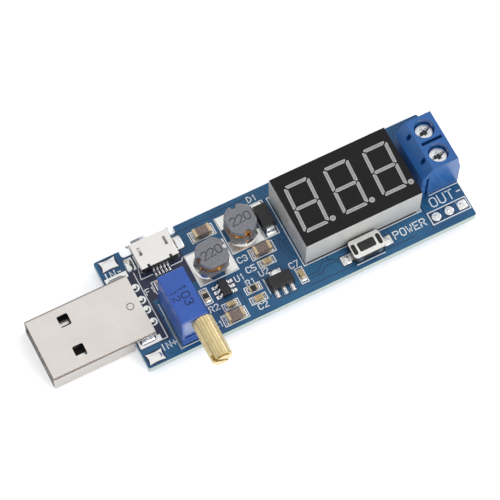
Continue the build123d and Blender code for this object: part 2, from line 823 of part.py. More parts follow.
with BuildPart() as trimmer_knob:
    with BuildSketch(facing_y(knob_y1)):
        with Locations((screw_x, screw_z)):
            Circle(knob_radius)
            with PolarLocations(knob_radius + 0.02, knob_flutes):
                Circle(knob_flute_radius, mode=Mode.SUBTRACT)
    extrude(amount=knob_length)
    with BuildSketch(facing_y(knob_y0)):
        with Locations((screw_x, screw_z)):
            Circle(knob_radius + 0.2)
            Circle(knob_radius - knob_end_chamfer, mode=Mode.SUBTRACT)
    extrude(amount=-knob_end_chamfer, taper=-45, mode=Mode.SUBTRACT)
    rod_along_y(screw_x, screw_z, knob_y1 - knob_bore_depth, knob_y1, screw_radius, Mode.SUBTRACT)
    slot_middle = spot(screw_x, knob_y0 + knob_slot_depth / 2, screw_z)
    with Locations(Location(slot_middle, (0, knob_slot_angle, 0))):
        Box(2 * knob_radius + 1, knob_slot_depth, knob_slot_width, mode=Mode.SUBTRACT)
save(trimmer_knob, "trimmer_knob")

with BuildPart() as trimmer_rotor:
    with BuildSketch(facing_x(wheel_x0)):
        with Locations((wheel_y, wheel_z)):
            Circle(tooth_root)
            with PolarLocations(0, wheel_teeth, start_angle=90):
                Polygon(
                    (tooth_root - 0.1, -0.15),
                    (tooth_tip, -0.06),
                    (tooth_tip, 0.06),
                    (tooth_root - 0.1, 0.15),
                    align=None,
                )
    extrude(amount=wheel_thickness)
    rod_along_x(wheel_y, wheel_z, wiper_x1, wheel_x0, wheel_boss_radius)
    rod_along_x(wheel_y, wheel_z, wheel_x1, cavity_x1 - running_gap, wheel_journal_radius)
save(trimmer_rotor, "trimmer_rotor")

# The wiper: a disc on the wheel's boss, with an arm bent towards the element
arm_top = wheel_z - 0.5
arm_tip = wheel_z - wheel_pitch_radius + 0.7
with BuildPart() as trimmer_wiper:
    rod_along_x(wheel_y, wheel_z, wiper_x1 - wiper_thickness, wiper_x1, wheel_boss_radius - 0.1)
    with BuildSketch(facing_y(wheel_y + wiper_width / 2)):
        Polygon(
            (wiper_x1, arm_top),
            (wiper_x1 - wiper_thickness, arm_top),
            (wiper_x1 - wiper_room + running_gap, arm_tip),
            (wiper_x1 - wiper_room + running_gap + wiper_thickness, arm_tip),
            align=None,
        )
    extrude(amount=wiper_width)
save(trimmer_wiper, "trimmer_wiper")

# ---------------------------------------------------------------- surface-mount parts
with BuildPart() as large_capacitor_bodies:
    for place in large_capacitor_places:
        chip_body(place, large_chip)
save(large_capacitor_bodies, "large_capacitor_bodies")

with BuildPart() as large_capacitor_ends:
    for place in large_capacitor_places:
        chip_ends(place, large_chip)
    fillet(large_capacitor_ends.part.edges().filter_by(Axis.Z), 0.1)
save(large_capacitor_ends, "large_capacitor_ends")

with BuildPart() as small_capacitor_bodies:
    for place in small_capacitor_places:
        chip_body(place, small_chip)
save(small_capacitor_bodies, "small_capacitor_bodies")

with BuildPart() as small_capacitor_ends:
    for place in small_capacitor_places:
        chip_ends(place, small_chip)
    fillet(small_capacitor_ends.part.edges().filter_by(Axis.Z), 0.06)
save(small_capacitor_ends, "small_capacitor_ends")

with BuildPart() as resistor_bodies:
    for place in resistor_places:
        chip_body(place, resistor_chip)
    for place in back_resistor_places:
        chip_body(place, resistor_chip, down=True)
save(resistor_bodies, "resistor_bodies")

with BuildPart() as resistor_ends:
    for place in resistor_places:
        chip_ends(place, resistor_chip)
    for place in back_resistor_places:
        chip_ends(place, resistor_chip, down=True)
save(resistor_ends, "resistor_ends")

with BuildPart() as fuse_body:
    chip_body(fuse_place, fuse_chip)
save(fuse_body, "fuse_body")

with BuildPart() as fuse_ends:
    chip_ends(fuse_place, fuse_chip)
save(fuse_ends, "fuse_ends")

# Drum inductors: a ferrite bobbin, its copper winding and two solder plates
core_z0 = pad_thickness + inductor_plate
lower_flange_z1 = core_z0 + flange_thickness
upper_flange_z0 = pad_thickness + inductor_height - flange_thickness


def inductor_plane(place, z):
    """A level plane centred on an inductor, with X along its notches."""
    x, y, turn = place
    return Plane(spot(x, y, z), x_dir=(cos(radians(turn)), sin(radians(turn)), 0), z_dir=(0, 0, 1))


def flange_outline():
    """A flange: round at its ends, with two flat sides and a notch at each end."""
    Circle(inductor_length / 2)
    Rectangle(inductor_length, inductor_width, mode=Mode.INTERSECT)
    with Locations((inductor_length / 2 - 0.15, 0), (-inductor_length / 2 + 0.15, 0)):
        Circle(inductor_notch_radius, mode=Mode.SUBTRACT)


for number, place in enumerate(inductor_places, start=1):
    with BuildPart() as inductor_core:
        with BuildSketch(inductor_plane(place, core_z0)):
            flange_outline()
        extrude(amount=flange_thickness)
        with BuildSketch(inductor_plane(place, lower_flange_z1)):
            Circle(inductor_post_radius)
        extrude(amount=upper_flange_z0 - lower_flange_z1)
        with BuildSketch(inductor_plane(place, upper_flange_z0)):
            flange_outline()
        extrude(amount=flange_thickness)
        chamfer(inductor_core.part.faces().sort_by(Axis.Z)[-1].edges(), 0.12)
    save(inductor_core, f"inductor_{number}_core")

    with BuildPart() as inductor_winding:
        with BuildSketch(inductor_plane(place, lower_flange_z1)):
            Circle(winding_radius)
            Circle(inductor_post_radius, mode=Mode.SUBTRACT)
        extrude(amount=upper_flange_z0 - lower_flange_z1)
    save(inductor_winding, f"inductor_{number}_winding")

    with BuildPart() as inductor_terminals:
        with BuildSketch(inductor_plane(place, pad_thickness)):
            Circle(inductor_length / 2)
            Rectangle(inductor_length, inductor_width - 0.8, mode=Mode.INTERSECT)
            Rectangle(inductor_length - 3.0, inductor_width, mode=Mode.SUBTRACT)
        extrude(amount=inductor_plate)
    save(inductor_terminals, f"inductor_{number}_terminals")

# Diode: a moulded block with a folded lead under each end
diode_x, diode_y = diode_place
with BuildPart() as diode_leads:
    for side in (-1, 1):
        outer = diode_y + side * (diode_length / 2 + diode_lead_reach)
        foot_y = sorted((outer, outer - side * diode_lead_foot))
        wall_y = sorted((outer, outer - side * diode_lead_thickness))
        arm_y = sorted((outer, diode_y + side * (diode_length / 2 - 0.3)))
        x0 = diode_x - diode_lead_width / 2
        x1 = diode_x + diode_lead_width / 2
        arm_z1 = diode_seam + diode_lead_thickness
        block(x0, x1, foot_y[0], foot_y[1], pad_thickness, pad_thickness + diode_lead_thickness)
        block(x0, x1, wall_y[0], wall_y[1], pad_thickness, arm_z1)
        block(x0, x1, arm_y[0], arm_y[1], diode_seam, arm_z1)
save(diode_leads, "diode_leads")

with BuildPart() as diode_body:
    for height in (pad_thickness + diode_height - diode_seam, pad_thickness + body_gap - diode_seam):
        with BuildSketch(deck.offset(diode_seam)):
            with Locations(diode_place):
                Rectangle(diode_width, diode_length)
        extrude(amount=height, taper=mould_taper)
    add(diode_leads.part, mode=Mode.SUBTRACT)
save(diode_body, "diode_body")

# Regulator: a power package with three leads on one side and a tab on the other
regulator_x, regulator_y = regulator_place
regulator_near = regulator_y - regulator_width / 2
tab_end_y = regulator_y + regulator_width / 2 + regulator_tab_reach
lead_z1 = pad_thickness + regulator_lead_height
with BuildPart() as regulator_leads:
    for n in (-1, 0, 1):
        centred_block(
            regulator_x + n * regulator_pitch,
            regulator_near - regulator_lead_length / 2 + lead_root,
            regulator_lead_width,
            regulator_lead_length,
            pad_thickness,
            lead_z1,
        )
    with BuildSketch(deck.offset(pad_thickness)):
        with Locations((regulator_x, (regulator_y + tab_end_y) / 2)):
            Rectangle(regulator_tab_width, tab_end_y - regulator_y)
        with Locations((regulator_x, tab_end_y)):
            Circle(regulator_tab_width / 2)
    extrude(amount=regulator_lead_height)
save(regulator_leads, "regulator_leads")

with BuildPart() as regulator_body:
    centred_block(
        regulator_x,
        regulator_y,
        regulator_length,
        regulator_width,
        pad_thickness,
        pad_thickness + regulator_height,
    )
    chamfer(regulator_body.part.faces().sort_by(Axis.Z)[-1].edges(), length=0.45, length2=0.2)
    add(regulator_leads.part, mode=Mode.SUBTRACT)
save(regulator_body, "regulator_body")

# Converter chip: three leads on each long side
converter_x, converter_y = converter_place
with BuildPart() as converter_leads:
    for side in (-1, 1):
        for n in (-1, 0, 1):
            y = converter_y + n * converter_pitch
            y0 = y - converter_lead_width / 2
            y1 = y + converter_lead_width / 2
            tip = converter_x + side * converter_lead_span / 2
            knee = converter_x + side * (converter_width / 2 + converter_lead_knee)
            root = converter_x + side * (converter_width / 2 - lead_root)
            foot = sorted((tip, knee))
            arm = sorted((knee, root))
            riser = sorted((knee, knee - side * converter_lead_thickness))
            arm_z0 = converter_lead_height - converter_lead_thickness
            block(foot[0], foot[1], y0, y1, pad_thickness, pad_thickness + converter_lead_thickness)
            block(riser[0], riser[1], y0, y1, pad_thickness, converter_lead_height)
            block(arm[0], arm[1], y0, y1, arm_z0, converter_lead_height)
save(converter_leads, "converter_leads")

with BuildPart() as converter_body:
    centred_block(
        converter_x,
        converter_y,
        converter_width,
        converter_length,
        pad_thickness + chip_gap,
        pad_thickness + converter_height,
    )
    chamfer(converter_body.part.faces().sort_by(Axis.Z)[-1].edges(), 0.1)
    add(converter_leads.part, mode=Mode.SUBTRACT)
save(converter_body, "converter_body")

# Controller on the underside, with a row of leads along each long side
controller_x, controller_y = controller_place
under = board_bottom - pad_thickness
with BuildPart() as controller_leads:
    for side in (-1, 1):
        for n in range(controller_leads_per_side):
            x = controller_x + controller_pitch * (n - (controller_leads_per_side - 1) / 2)
            x0 = x - controller_lead_width / 2
            x1 = x + controller_lead_width / 2
            root = controller_y + side * (controller_width / 2 - lead_root)
            knee = controller_y + side * (controller_width / 2 + controller_lead_knee)
            tip = controller_y + side * (controller_width / 2 + controller_lead_reach)
            foot = sorted((tip, knee))
            riser = sorted((knee, knee - side * controller_lead_thickness))
            arm = sorted((knee, root))
            arm_z0 = under - controller_lead_height
            block(x0, x1, foot[0], foot[1], under - controller_lead_thickness, under)
            block(x0, x1, riser[0], riser[1], arm_z0, under)
            block(x0, x1, arm[0], arm[1], arm_z0, arm_z0 + controller_lead_thickness)
save(controller_leads, "controller_leads")

with BuildPart() as controller_body:
    centred_block(
        controller_x,
        controller_y,
        controller_length,
        controller_width,
        under - chip_gap - controller_height,
        under - chip_gap,
    )
    chamfer(controller_body.part.faces().sort_by(Axis.Z)[0].edges(), 0.12)
    add(controller_leads.part, mode=Mode.SUBTRACT)
save(controller_body, "controller_body")

# ---------------------------------------------------------------- display
digit_xs = [display_x + digit_pitch * n for n in (-1, 0, 1)]
lean = sin(radians(digit_lean)) / cos(radians(digit_lean))
stroke = segment_stroke / 2
half_height = digit_height / 2
half_width = digit_width / 2


def segment(ends, outward):
    """One bar of a digit, mitred towards its neighbours, from its two ends on the digit's grid.

    outward is the side of the bar that faces away from the digit, or zero for the middle bar.
    """
    (ax, ay), (bx, by) = ends
    length = ((bx - ax) ** 2 + (by - ay) ** 2) ** 0.5 - segment_gap
    ux, uy = (bx - ax) / (length + segment_gap), (by - ay) / (length + segment_gap)
    mx, my = (ax + bx) / 2, (ay + by) / 2
    half = length / 2
    point = stroke * 0.35 * outward
    outer = half - stroke + stroke * 0.65 * abs(outward)
    inner = half - stroke - stroke * 0.35 * abs(outward)
    upper, lower = (outer, inner) if outward >= 0 else (inner, outer)
    far_side = [(-half, point), (-upper, stroke), (upper, stroke), (half, point)]
    near_side = [(lower, -stroke), (-lower, -stroke)]
    corners = []
    for a, b in far_side + near_side:
        x = mx + a * ux - b * uy
        y = my + a * uy + b * ux
        corners.append((x + y * lean, y))
    Polygon(*corners, align=None)


def digit_shapes():
    """The seven bars and the point of one digit, about its middle."""
    top_left, top_right = (-half_width, half_height), (half_width, half_height)
    left, right = (-half_width, 0), (half_width, 0)
    bottom_left, bottom_right = (-half_width, -half_height), (half_width, -half_height)
    segment((top_left, top_right), 1)
    segment((left, right), 0)
    segment((bottom_left, bottom_right), -1)
    segment((left, top_left), 1)
    segment((bottom_left, left), 1)
    segment((right, top_right), -1)
    segment((bottom_right, right), -1)
    with Locations((point_offset_x, point_offset_y)):
        Circle(point_radius)


def all_digit_shapes():
    """The bars and points of every digit, on the display's face."""
    for x in digit_xs:
        with BuildSketch(Plane.XY, mode=Mode.PRIVATE) as one_digit:
            digit_shapes()
        with Locations((x, display_y)):
            add(one_digit.sketch)


face_z0 = display_top - display_face_thickness
recess_z1 = display_lift + display_recess
recess_length = display_length - 2 * display_wall
recess_width = display_width - 2 * display_wall
inner_board_z0 = recess_z1 - display_board_thickness
potting_z0 = inner_board_z0 - display_potting_height
segment_z0 = recess_z1 + die_size + 0.1
foot_reach_x = (display_length - display_foot) / 2
foot_reach_y = (display_width - display_foot) / 2

with BuildPart() as display_pins:
    for x, y in display_pin_places:
        centred_block(x, y, display_pin_size, display_pin_size, lead_tip, inner_board_z0)
save(display_pins, "display_pins")

with BuildPart() as display_board:
    centred_block(display_x, display_y, recess_length, recess_width, inner_board_z0, recess_z1)
save(display_board, "display_board")

with BuildPart() as display_potting:
    centred_block(display_x, display_y, recess_length, recess_width, potting_z0, inner_board_z0)
    add(display_pins.part, mode=Mode.SUBTRACT)
save(display_potting, "display_potting")

with BuildPart() as display_segments:
    with BuildSketch(deck.offset(segment_z0)):
        all_digit_shapes()
    extrude(amount=display_top - segment_z0)
save(display_segments, "display_segments")

with BuildPart() as display_face:
    with BuildSketch(deck.offset(face_z0)):
        with Locations((display_x, display_y)):
            Rectangle(display_length, display_width)
    extrude(amount=display_face_thickness)
    add(display_segments.part, mode=Mode.SUBTRACT)
save(display_face, "display_face")

with BuildPart() as display_shell:
    centred_block(display_x, display_y, display_length, display_width, display_lift, face_z0)
    centred_block(
        display_x, display_y, recess_length, recess_width, display_lift, recess_z1, Mode.SUBTRACT
    )
    with BuildSketch(deck.offset(recess_z1 - segment_mould_depth)):
        all_digit_shapes()
    extrude(amount=face_z0 - recess_z1 + segment_mould_depth, mode=Mode.SUBTRACT)
    for dx in (-foot_reach_x, foot_reach_x):
        for dy in (-foot_reach_y, foot_reach_y):
            centred_block(display_x + dx, display_y + dy, display_foot, display_foot, 0, potting_z0)
save(display_shell, "display_shell")

# One light-emitting chip under the middle of each bar and point
bar_middles = [(0, dy) for dy in (half_height, 0, -half_height)]
bar_middles += [(dx, dy) for dx in (-half_width, half_width) for dy in (-half_height / 2, half_height / 2)]
chip_places = [(dx + dy * lean, dy) for dx, dy in bar_middles] + [(point_offset_x, point_offset_y)]
with BuildPart() as display_chips:
    for x in digit_xs:
        for dx, dy in chip_places:
            centred_block(x + dx, display_y + dy, die_size, die_size, recess_z1, recess_z1 + die_size)
save(display_chips, "display_chips")

# ---------------------------------------------------------------- button
base_z0 = pad_thickness + switch_lead_thickness
cover_z1 = pad_thickness + switch_height
cover_z0 = cover_z1 - switch_cover_thickness
plunger_length = switch_window_length - 2 * plunger_side_gap
plunger_width = switch_window_width - 2 * plunger_side_gap
pocket_floor = base_z0 + switch_pocket_floor
plunger_bottom = pocket_floor + dome_height + 0.02
plunger_top = cover_z1 + plunger_rise
flange_length = plunger_length + 2 * plunger_flange
flange_width = plunger_width + 2 * plunger_flange
flange_z1 = cover_z0 - 0.02
switch_lead_reach = switch_length / 2 + switch_lead_length

with BuildPart() as switch_terminals:
    for side in (-1, 1):
        outer = switch_x + side * switch_lead_reach
        knee = switch_x + side * (switch_length / 2 + switch_lead_knee)
        root = switch_x + side * (switch_length / 2 - switch_lead_root)
        foot = sorted((outer, knee))
        riser = sorted((knee, knee - side * switch_lead_thickness))
        arm = sorted((knee, root))
        y0 = switch_y - switch_lead_shift - switch_lead_width / 2
        y1 = y0 + switch_lead_width
        block(foot[0], foot[1], y0, y1, pad_thickness, pad_thickness + switch_lead_thickness)
        block(riser[0], riser[1], y0, y1, pad_thickness, base_z0 + 0.4)
        block(arm[0], arm[1], y0, y1, base_z0 + 0.25, base_z0 + 0.4)
save(switch_terminals, "switch_terminals")

with BuildPart() as switch_base:
    centred_block(switch_x, switch_y, switch_length - 0.1, switch_width - 0.15, base_z0, cover_z0)
    fillet(switch_base.part.edges().filter_by(Axis.Z), 0.3)
    centred_block(
        switch_x, switch_y, flange_length + 2 * plunger_side_gap, flange_width + 2 * plunger_side_gap,
        pocket_floor, cover_z0, Mode.SUBTRACT,
    )
    for side in (-1, 1):
        with BuildSketch(deck.offset(cover_z0)):
            with Locations((switch_x + side * switch_oval_offset, switch_y)):
                SlotOverall(switch_oval_length, switch_oval_width, rotation=90)
        extrude(amount=switch_cover_thickness * 0.6)
    add(switch_terminals.part, mode=Mode.SUBTRACT)
save(switch_base, "switch_base")

with BuildPart() as switch_cover:
    with BuildSketch(deck.offset(cover_z0)):
        with Locations((switch_x, switch_y)):
            RectangleRounded(switch_length, switch_width, switch_corner)
            RectangleRounded(
                switch_window_length, switch_window_width, switch_window_corner, mode=Mode.SUBTRACT
            )
        for side in (-1, 1):
            with Locations((switch_x + side * switch_oval_offset, switch_y)):
                SlotOverall(switch_oval_length, switch_oval_width, rotation=90, mode=Mode.SUBTRACT)
    extrude(amount=switch_cover_thickness)
    # Hooks that fold down over the two long sides
    hook_z0 = base_z0 + 0.5
    for side in (-1, 1):
        hook_y = switch_y + side * (switch_width - switch_hook_thickness) / 2
        for dx in (-switch_hook_offset, switch_hook_offset):
            x = switch_x + dx
            centred_block(x, hook_y, switch_hook_width, switch_hook_thickness, hook_z0, cover_z0)
save(switch_cover, "switch_cover")

with BuildPart() as switch_plunger:
    with BuildSketch(deck.offset(flange_z1)):
        with Locations((switch_x, switch_y)):
            RectangleRounded(plunger_length, plunger_width, switch_window_corner - plunger_side_gap)
    extrude(amount=plunger_top - flange_z1)
    centred_block(switch_x, switch_y, flange_length, flange_width, plunger_bottom + 0.35, flange_z1)
    post(switch_x, switch_y, plunger_bottom, plunger_bottom + 0.35, 0.5)
    chamfer(switch_plunger.part.faces().sort_by(Axis.Z)[-1].edges(), 0.06)
save(switch_plunger, "switch_plunger")

dome_radius = flange_width / 2 - 0.05
with BuildPart() as switch_dome:
    post(switch_x, switch_y, pocket_floor, pocket_floor + dome_thickness, dome_radius)
    with BuildSketch(deck.offset(pocket_floor + dome_thickness)):
        with Locations((switch_x, switch_y)):
            Circle(dome_radius)
    extrude(amount=dome_height - dome_thickness, taper=62)
save(switch_dome, "switch_dome")

# ---------------------------------------------------------------- screw terminal block
cage_x1 = terminal_x1 - cage_front_inset
cage_x0 = cage_x1 - cage_length
cage_z0 = terminal_floor + cage_gap
cage_z1 = cage_z0 + cage_height
head_z1 = terminal_height - screw_head_depth
head_z0 = head_z1 - screw_head_height
shank_z0 = head_z0 - screw_shank_length
top_x0 = terminal_x0 + terminal_top_back_inset
top_x1 = terminal_x1 - terminal_top_front_inset
slope_rise = terminal_height - terminal_back_shoulder
slope_length = (slope_rise ** 2 + terminal_top_back_inset ** 2) ** 0.5


def key_outline(near_y, swell=0.0):
    """The dovetail's section, seen from above: narrow at the face, wide away from it."""
    x = terminal_x0 + key_back_inset
    half = key_width / 2 - swell
    Polygon(
        (x - half + key_neck / 2, near_y),
        (x + half - key_neck / 2, near_y),
        (x + half, near_y + key_depth - swell),
        (x - half, near_y + key_depth - swell),
        align=None,
    )


with BuildPart() as terminal_housing:
    with BuildSketch(facing_y(terminal_y0)):
        Polygon(
            (terminal_x0, 0),
            (terminal_x1, 0),
            (terminal_x1, terminal_front_ledge),
            (terminal_x1 - terminal_ledge_step, terminal_front_ledge + 0.1),
            (top_x1, terminal_height),
            (top_x0, terminal_height),
            (terminal_x0, terminal_back_shoulder),
            align=None,
        )
    extrude(amount=-terminal_length)
    for y in pole_ys:
        post(well_x, y, well_bottom - 0.5, terminal_height + 1, well_radius, Mode.SUBTRACT)
        block(
            cage_x0 - cage_gap,
            cage_x1 + cage_gap,
            y - cage_width / 2 - cage_gap,
            y + cage_width / 2 + cage_gap,
            terminal_floor,
            cage_z1 + cage_gap,
            Mode.SUBTRACT,
        )
        block(
            cage_x1 - 1,
            terminal_x1 + 1,
            y - entry_width / 2,
            y + entry_width / 2,
            cage_z0 + cage_wall,
            cage_z0 + cage_wall + entry_height,
            Mode.SUBTRACT,
        )
        centred_block(
            well_x,
            y,
            terminal_pin_width + 2 * cage_gap,
            terminal_pin_thickness + 2 * cage_gap,
            -1,
            terminal_floor + 0.1,
            Mode.SUBTRACT,
        )
        # Oval moulding hole in the sloping back face
        slope = Plane(
            spot(
                terminal_x0 + terminal_top_back_inset * oval_rise,
                y,
                terminal_back_shoulder + slope_rise * oval_rise,
            ),
            x_dir=(terminal_top_back_inset / slope_length, 0, slope_rise / slope_length),
            z_dir=(-slope_rise / slope_length, 0, terminal_top_back_inset / slope_length),
        )
        with BuildSketch(slope):
            SlotOverall(oval_length, oval_width)
        extrude(amount=-oval_depth, mode=Mode.SUBTRACT)
    for n in range(pole_count - 1):
        y = (pole_ys[n] + pole_ys[n + 1]) / 2
        centred_block(
            (top_x0 + top_x1) / 2,
            y,
            top_x1 - top_x0 - 2 * terminal_slot_margin,
            terminal_slot_width,
            terminal_height - terminal_slot_depth,
            terminal_height + 1,
            Mode.SUBTRACT,
        )
    with BuildSketch(deck):
        key_outline(terminal_y0)
    extrude(amount=key_height, mode=Mode.SUBTRACT)
    with BuildSketch(deck):
        key_outline(terminal_y0 + terminal_length, swell=key_clearance)
    extrude(amount=key_height - 0.3)
save(terminal_housing, "terminal_housing")

for number, y in enumerate(pole_ys, start=1):
    with BuildPart() as terminal_cage:
        block(cage_x0, cage_x1, y - cage_width / 2, y + cage_width / 2, cage_z0, cage_z1)
        block(
            cage_x0 - 1,
            cage_x1 + 1,
            y - cage_width / 2 + cage_wall,
            y + cage_width / 2 - cage_wall,
            cage_z0 + cage_wall,
            cage_z1 - cage_wall,
            Mode.SUBTRACT,
        )
        post(well_x, y, cage_z1 - 1, cage_z1 + 1, screw_shank_radius + running_gap, Mode.SUBTRACT)
        centred_block(well_x, y, terminal_pin_width, terminal_pin_thickness, lead_tip, cage_z0)
    save(terminal_cage, f"terminal_cage_{number}")

    slot_angle = screw_slot_angles[(number - 1) % len(screw_slot_angles)]
    with BuildPart() as terminal_screw:
        post(well_x, y, head_z0, head_z1, screw_head_radius)
        chamfer(terminal_screw.part.faces().sort_by(Axis.Z)[-1].edges(), 0.15)
        post(well_x, y, shank_z0, head_z0, screw_shank_radius)
        for length, width, depth, angle in (
            (2 * screw_head_radius + 1, screw_slot_width, screw_slot_depth, slot_angle),
            (cross_slot_length, cross_slot_width, cross_slot_depth, slot_angle),
            (cross_slot_length, cross_slot_width, cross_slot_depth, slot_angle + 90),
        ):
            with Locations(Location(spot(well_x, y, head_z1 - depth / 2), (0, 0, angle))):
                Box(length, width, depth, mode=Mode.SUBTRACT)
    save(terminal_screw, f"terminal_screw_{number}")

    with BuildPart() as clamp_plate:
        centred_block(
            well_x - plate_shift, y, plate_length, plate_width, shank_z0 - plate_thickness, shank_z0
        )
    save(clamp_plate, f"clamp_plate_{number}")

# ---------------------------------------------------------------- tinned pads on top
slot_pad_length = plug_slot_length + 1.1
slot_pad_width = plug_slot_width + 0.9
input_pad_places = (
    (input_pad_inset, input_pad_inset),
    (far_input_pad_inset[0], board_width - far_input_pad_inset[1] - input_pad_size[1]),
)


def pad(x, y, size):
    """A tinned pad round its middle point."""
    centred_block(x, y, size[0], size[1], 0, pad_thickness)


with BuildPart() as solder_pads:
    for x, y in input_pad_places:
        block(x, x + input_pad_size[0], y, y + input_pad_size[1], 0, pad_thickness)
    with BuildSketch(deck):
        for slot_y in plug_slot_ys:
            with Locations((plug_slot_x + 0.2, slot_y)):
                Rectangle(slot_pad_length, slot_pad_width)
            with Locations((plug_slot_x, slot_y)):
                SlotOverall(plug_slot_length, plug_slot_width, mode=Mode.SUBTRACT)
    extrude(amount=pad_thickness)
    block(-1, plug_lap + 1, plug_y - plug_width / 2, plug_y + plug_width / 2, -1, 1, Mode.SUBTRACT)
    with BuildSketch(deck):
        with Locations(*plug_tail_places):
            Circle(tail_hole + ring_margin)
            Circle(tail_hole, mode=Mode.SUBTRACT)
    extrude(amount=pad_thickness)
    for side in (-1, 1):
        x = socket_x + side * (socket_half + socket_pad_size[0] / 2 + pad_gap)
        pad(x, socket_front - socket_pad_setback, socket_pad_size)
    for x in pin_xs:
        pad(x, socket_back - socket_pin_foot / 2 - 0.15, socket_pin_pad_size)
    for place in large_capacitor_places:
        chip_pads(place, large_chip)
    for place in small_capacitor_places:
        chip_pads(place, small_chip)
    for place in resistor_places:
        chip_pads(place, resistor_chip)
    chip_pads(fuse_place, fuse_chip)
    for place in inductor_places:
        for side in (-1, 1):
            with BuildSketch(inductor_plane((place[0], place[1], round(place[2] / 90) * 90), 0)):
                with Locations((side * (inductor_length - inductor_pad_overlap) / 2, 0)):
                    Rectangle(inductor_pad_length, inductor_pad_width)
            extrude(amount=pad_thickness)
    for side in (-1, 1):
        pad(diode_x, diode_y + side * (diode_length / 2 + 0.35), diode_pad_size)
    for n in (-1, 0, 1):
        pad(regulator_x + n * regulator_pitch, regulator_near - 0.55, regulator_pad_size)
    pad(regulator_x, tab_end_y - 0.2, regulator_tab_pad_size)
    for side in (-1, 1):
        for n in (-1, 0, 1):
            x = converter_x + side * converter_lead_span / 2
            pad(x, converter_y + n * converter_pitch, converter_pad_size)
    for side in (-1, 1):
        x = switch_x + side * (switch_lead_reach - 0.55)
        pad(x, switch_y - switch_lead_shift, switch_pad_size)
    with BuildSketch(deck):
        with Locations(*header_places[1:]):
            Circle(header_pad_radius)
        with Locations(header_places[0]):
            Rectangle(2 * header_pad_radius, 2 * header_pad_radius)
    extrude(amount=pad_thickness)
save(solder_pads, "solder_pads")

# ---------------------------------------------------------------- solder joints
joint_top = board_bottom
joint_bottom = -standoff
with BuildPart() as solder_joints:
    for x, y in display_pin_places + trimmer_pin_places + terminal_pin_places + plug_tail_places:
        wide = (x, y) in terminal_pin_places
        narrow = (x, y) in plug_tail_places
        radius = joint_radius + (0.45 if wide else 0) - (0.1 if narrow else 0)
        with BuildSketch(deck.offset(joint_top)):
            with Locations((x, y)):
                Circle(radius)
        extrude(amount=-(joint_top - joint_bottom), taper=joint_taper)
    for x, y in header_places:
        post(x, y, joint_top, pad_thickness, header_hole)
        post(x, y, joint_top - header_joint_depth, joint_top, header_pad_radius)
        post(x, y, pad_thickness, pad_thickness + header_solder_height, header_pad_radius - 0.1)
    for leg_y in plug_slot_ys:
        with BuildSketch(deck.offset(-plug_slot_dip)):
            with Locations((plug_slot_x, leg_y)):
                SlotOverall(plug_slot_length, plug_slot_width)
        extrude(amount=-(board_thickness - plug_slot_dip))
        with BuildSketch(deck.offset(board_bottom)):
            with Locations((plug_slot_x, leg_y)):
                SlotOverall(plug_slot_length + 0.8, plug_slot_width + 0.8)
        extrude(amount=-plug_leg_solder)
    for piece in (display_pins, trimmer_pins, plug_contacts, plug_shell, solder_pads):
        add(piece.part, mode=Mode.SUBTRACT)
    for y in pole_ys:
        centred_block(
            well_x, y, terminal_pin_width, terminal_pin_thickness, lead_tip, joint_top, Mode.SUBTRACT
        )
save(solder_joints, "solder_joints")
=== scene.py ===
"""The looks of a small USB supply board with a three-digit meter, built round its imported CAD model.

Places are in the board's own coordinates, in millimetres: X along the board from the plug end,
Y across it, Z up, zero at the near corner of its upper face. at() turns them into the frame's metres.
"""
import json
import math

import bmesh
import bpy
from mathutils import Matrix, Vector


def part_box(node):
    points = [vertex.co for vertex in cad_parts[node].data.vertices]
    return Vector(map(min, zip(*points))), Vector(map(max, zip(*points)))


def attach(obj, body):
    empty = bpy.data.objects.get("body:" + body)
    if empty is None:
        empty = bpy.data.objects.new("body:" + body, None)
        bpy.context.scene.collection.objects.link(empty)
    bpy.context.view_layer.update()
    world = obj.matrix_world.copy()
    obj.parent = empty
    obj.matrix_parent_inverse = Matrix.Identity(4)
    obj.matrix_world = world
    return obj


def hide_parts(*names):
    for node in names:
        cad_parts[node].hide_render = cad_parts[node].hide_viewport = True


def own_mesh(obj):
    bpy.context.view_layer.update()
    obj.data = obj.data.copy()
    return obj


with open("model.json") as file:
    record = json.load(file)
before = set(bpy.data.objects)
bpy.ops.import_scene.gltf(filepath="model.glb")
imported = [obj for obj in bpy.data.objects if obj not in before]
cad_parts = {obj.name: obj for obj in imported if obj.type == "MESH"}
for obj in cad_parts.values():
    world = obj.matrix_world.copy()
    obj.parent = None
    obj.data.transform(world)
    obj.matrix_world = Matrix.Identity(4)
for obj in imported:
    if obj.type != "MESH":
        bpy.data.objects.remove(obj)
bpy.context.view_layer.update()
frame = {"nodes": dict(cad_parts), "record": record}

MM = 0.001
board_low, board_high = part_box("circuit_board")
BOARD_LENGTH = (board_high.x - board_low.x) / MM
BOARD_WIDTH = (board_high.y - board_low.y) / MM
PAD_TOP = 0.05          # the upper face of the tinned pads
SUNK = -0.01            # where printed layers start, just below the board's face
SHARP_EDGE = 38         # degrees; edges that turn more than this stay sharp


def at(x, y, z=0.0):
    """A point of the board's coordinates, in the frame."""
    return Vector((board_low.x + x * MM, board_low.y + y * MM, board_high.z + z * MM))


def extent(node):
    """A CAD node's lowest and highest corners, in the board's coordinates."""
    origin = Vector((board_low.x, board_low.y, board_high.z))
    low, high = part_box(node)
    return (low - origin) / MM, (high - origin) / MM


# ------------------------------------------------------------------ materials
def shader(name):
    """A new material, with its node tree, its Principled shader and its object coordinates."""
    material = bpy.data.materials.new(name)
    material.use_nodes = True
    tree = material.node_tree
    principled = tree.nodes["Principled BSDF"]
    coordinates = tree.nodes.new("ShaderNodeTexCoord")
    return material, tree, principled, coordinates.outputs["Object"]


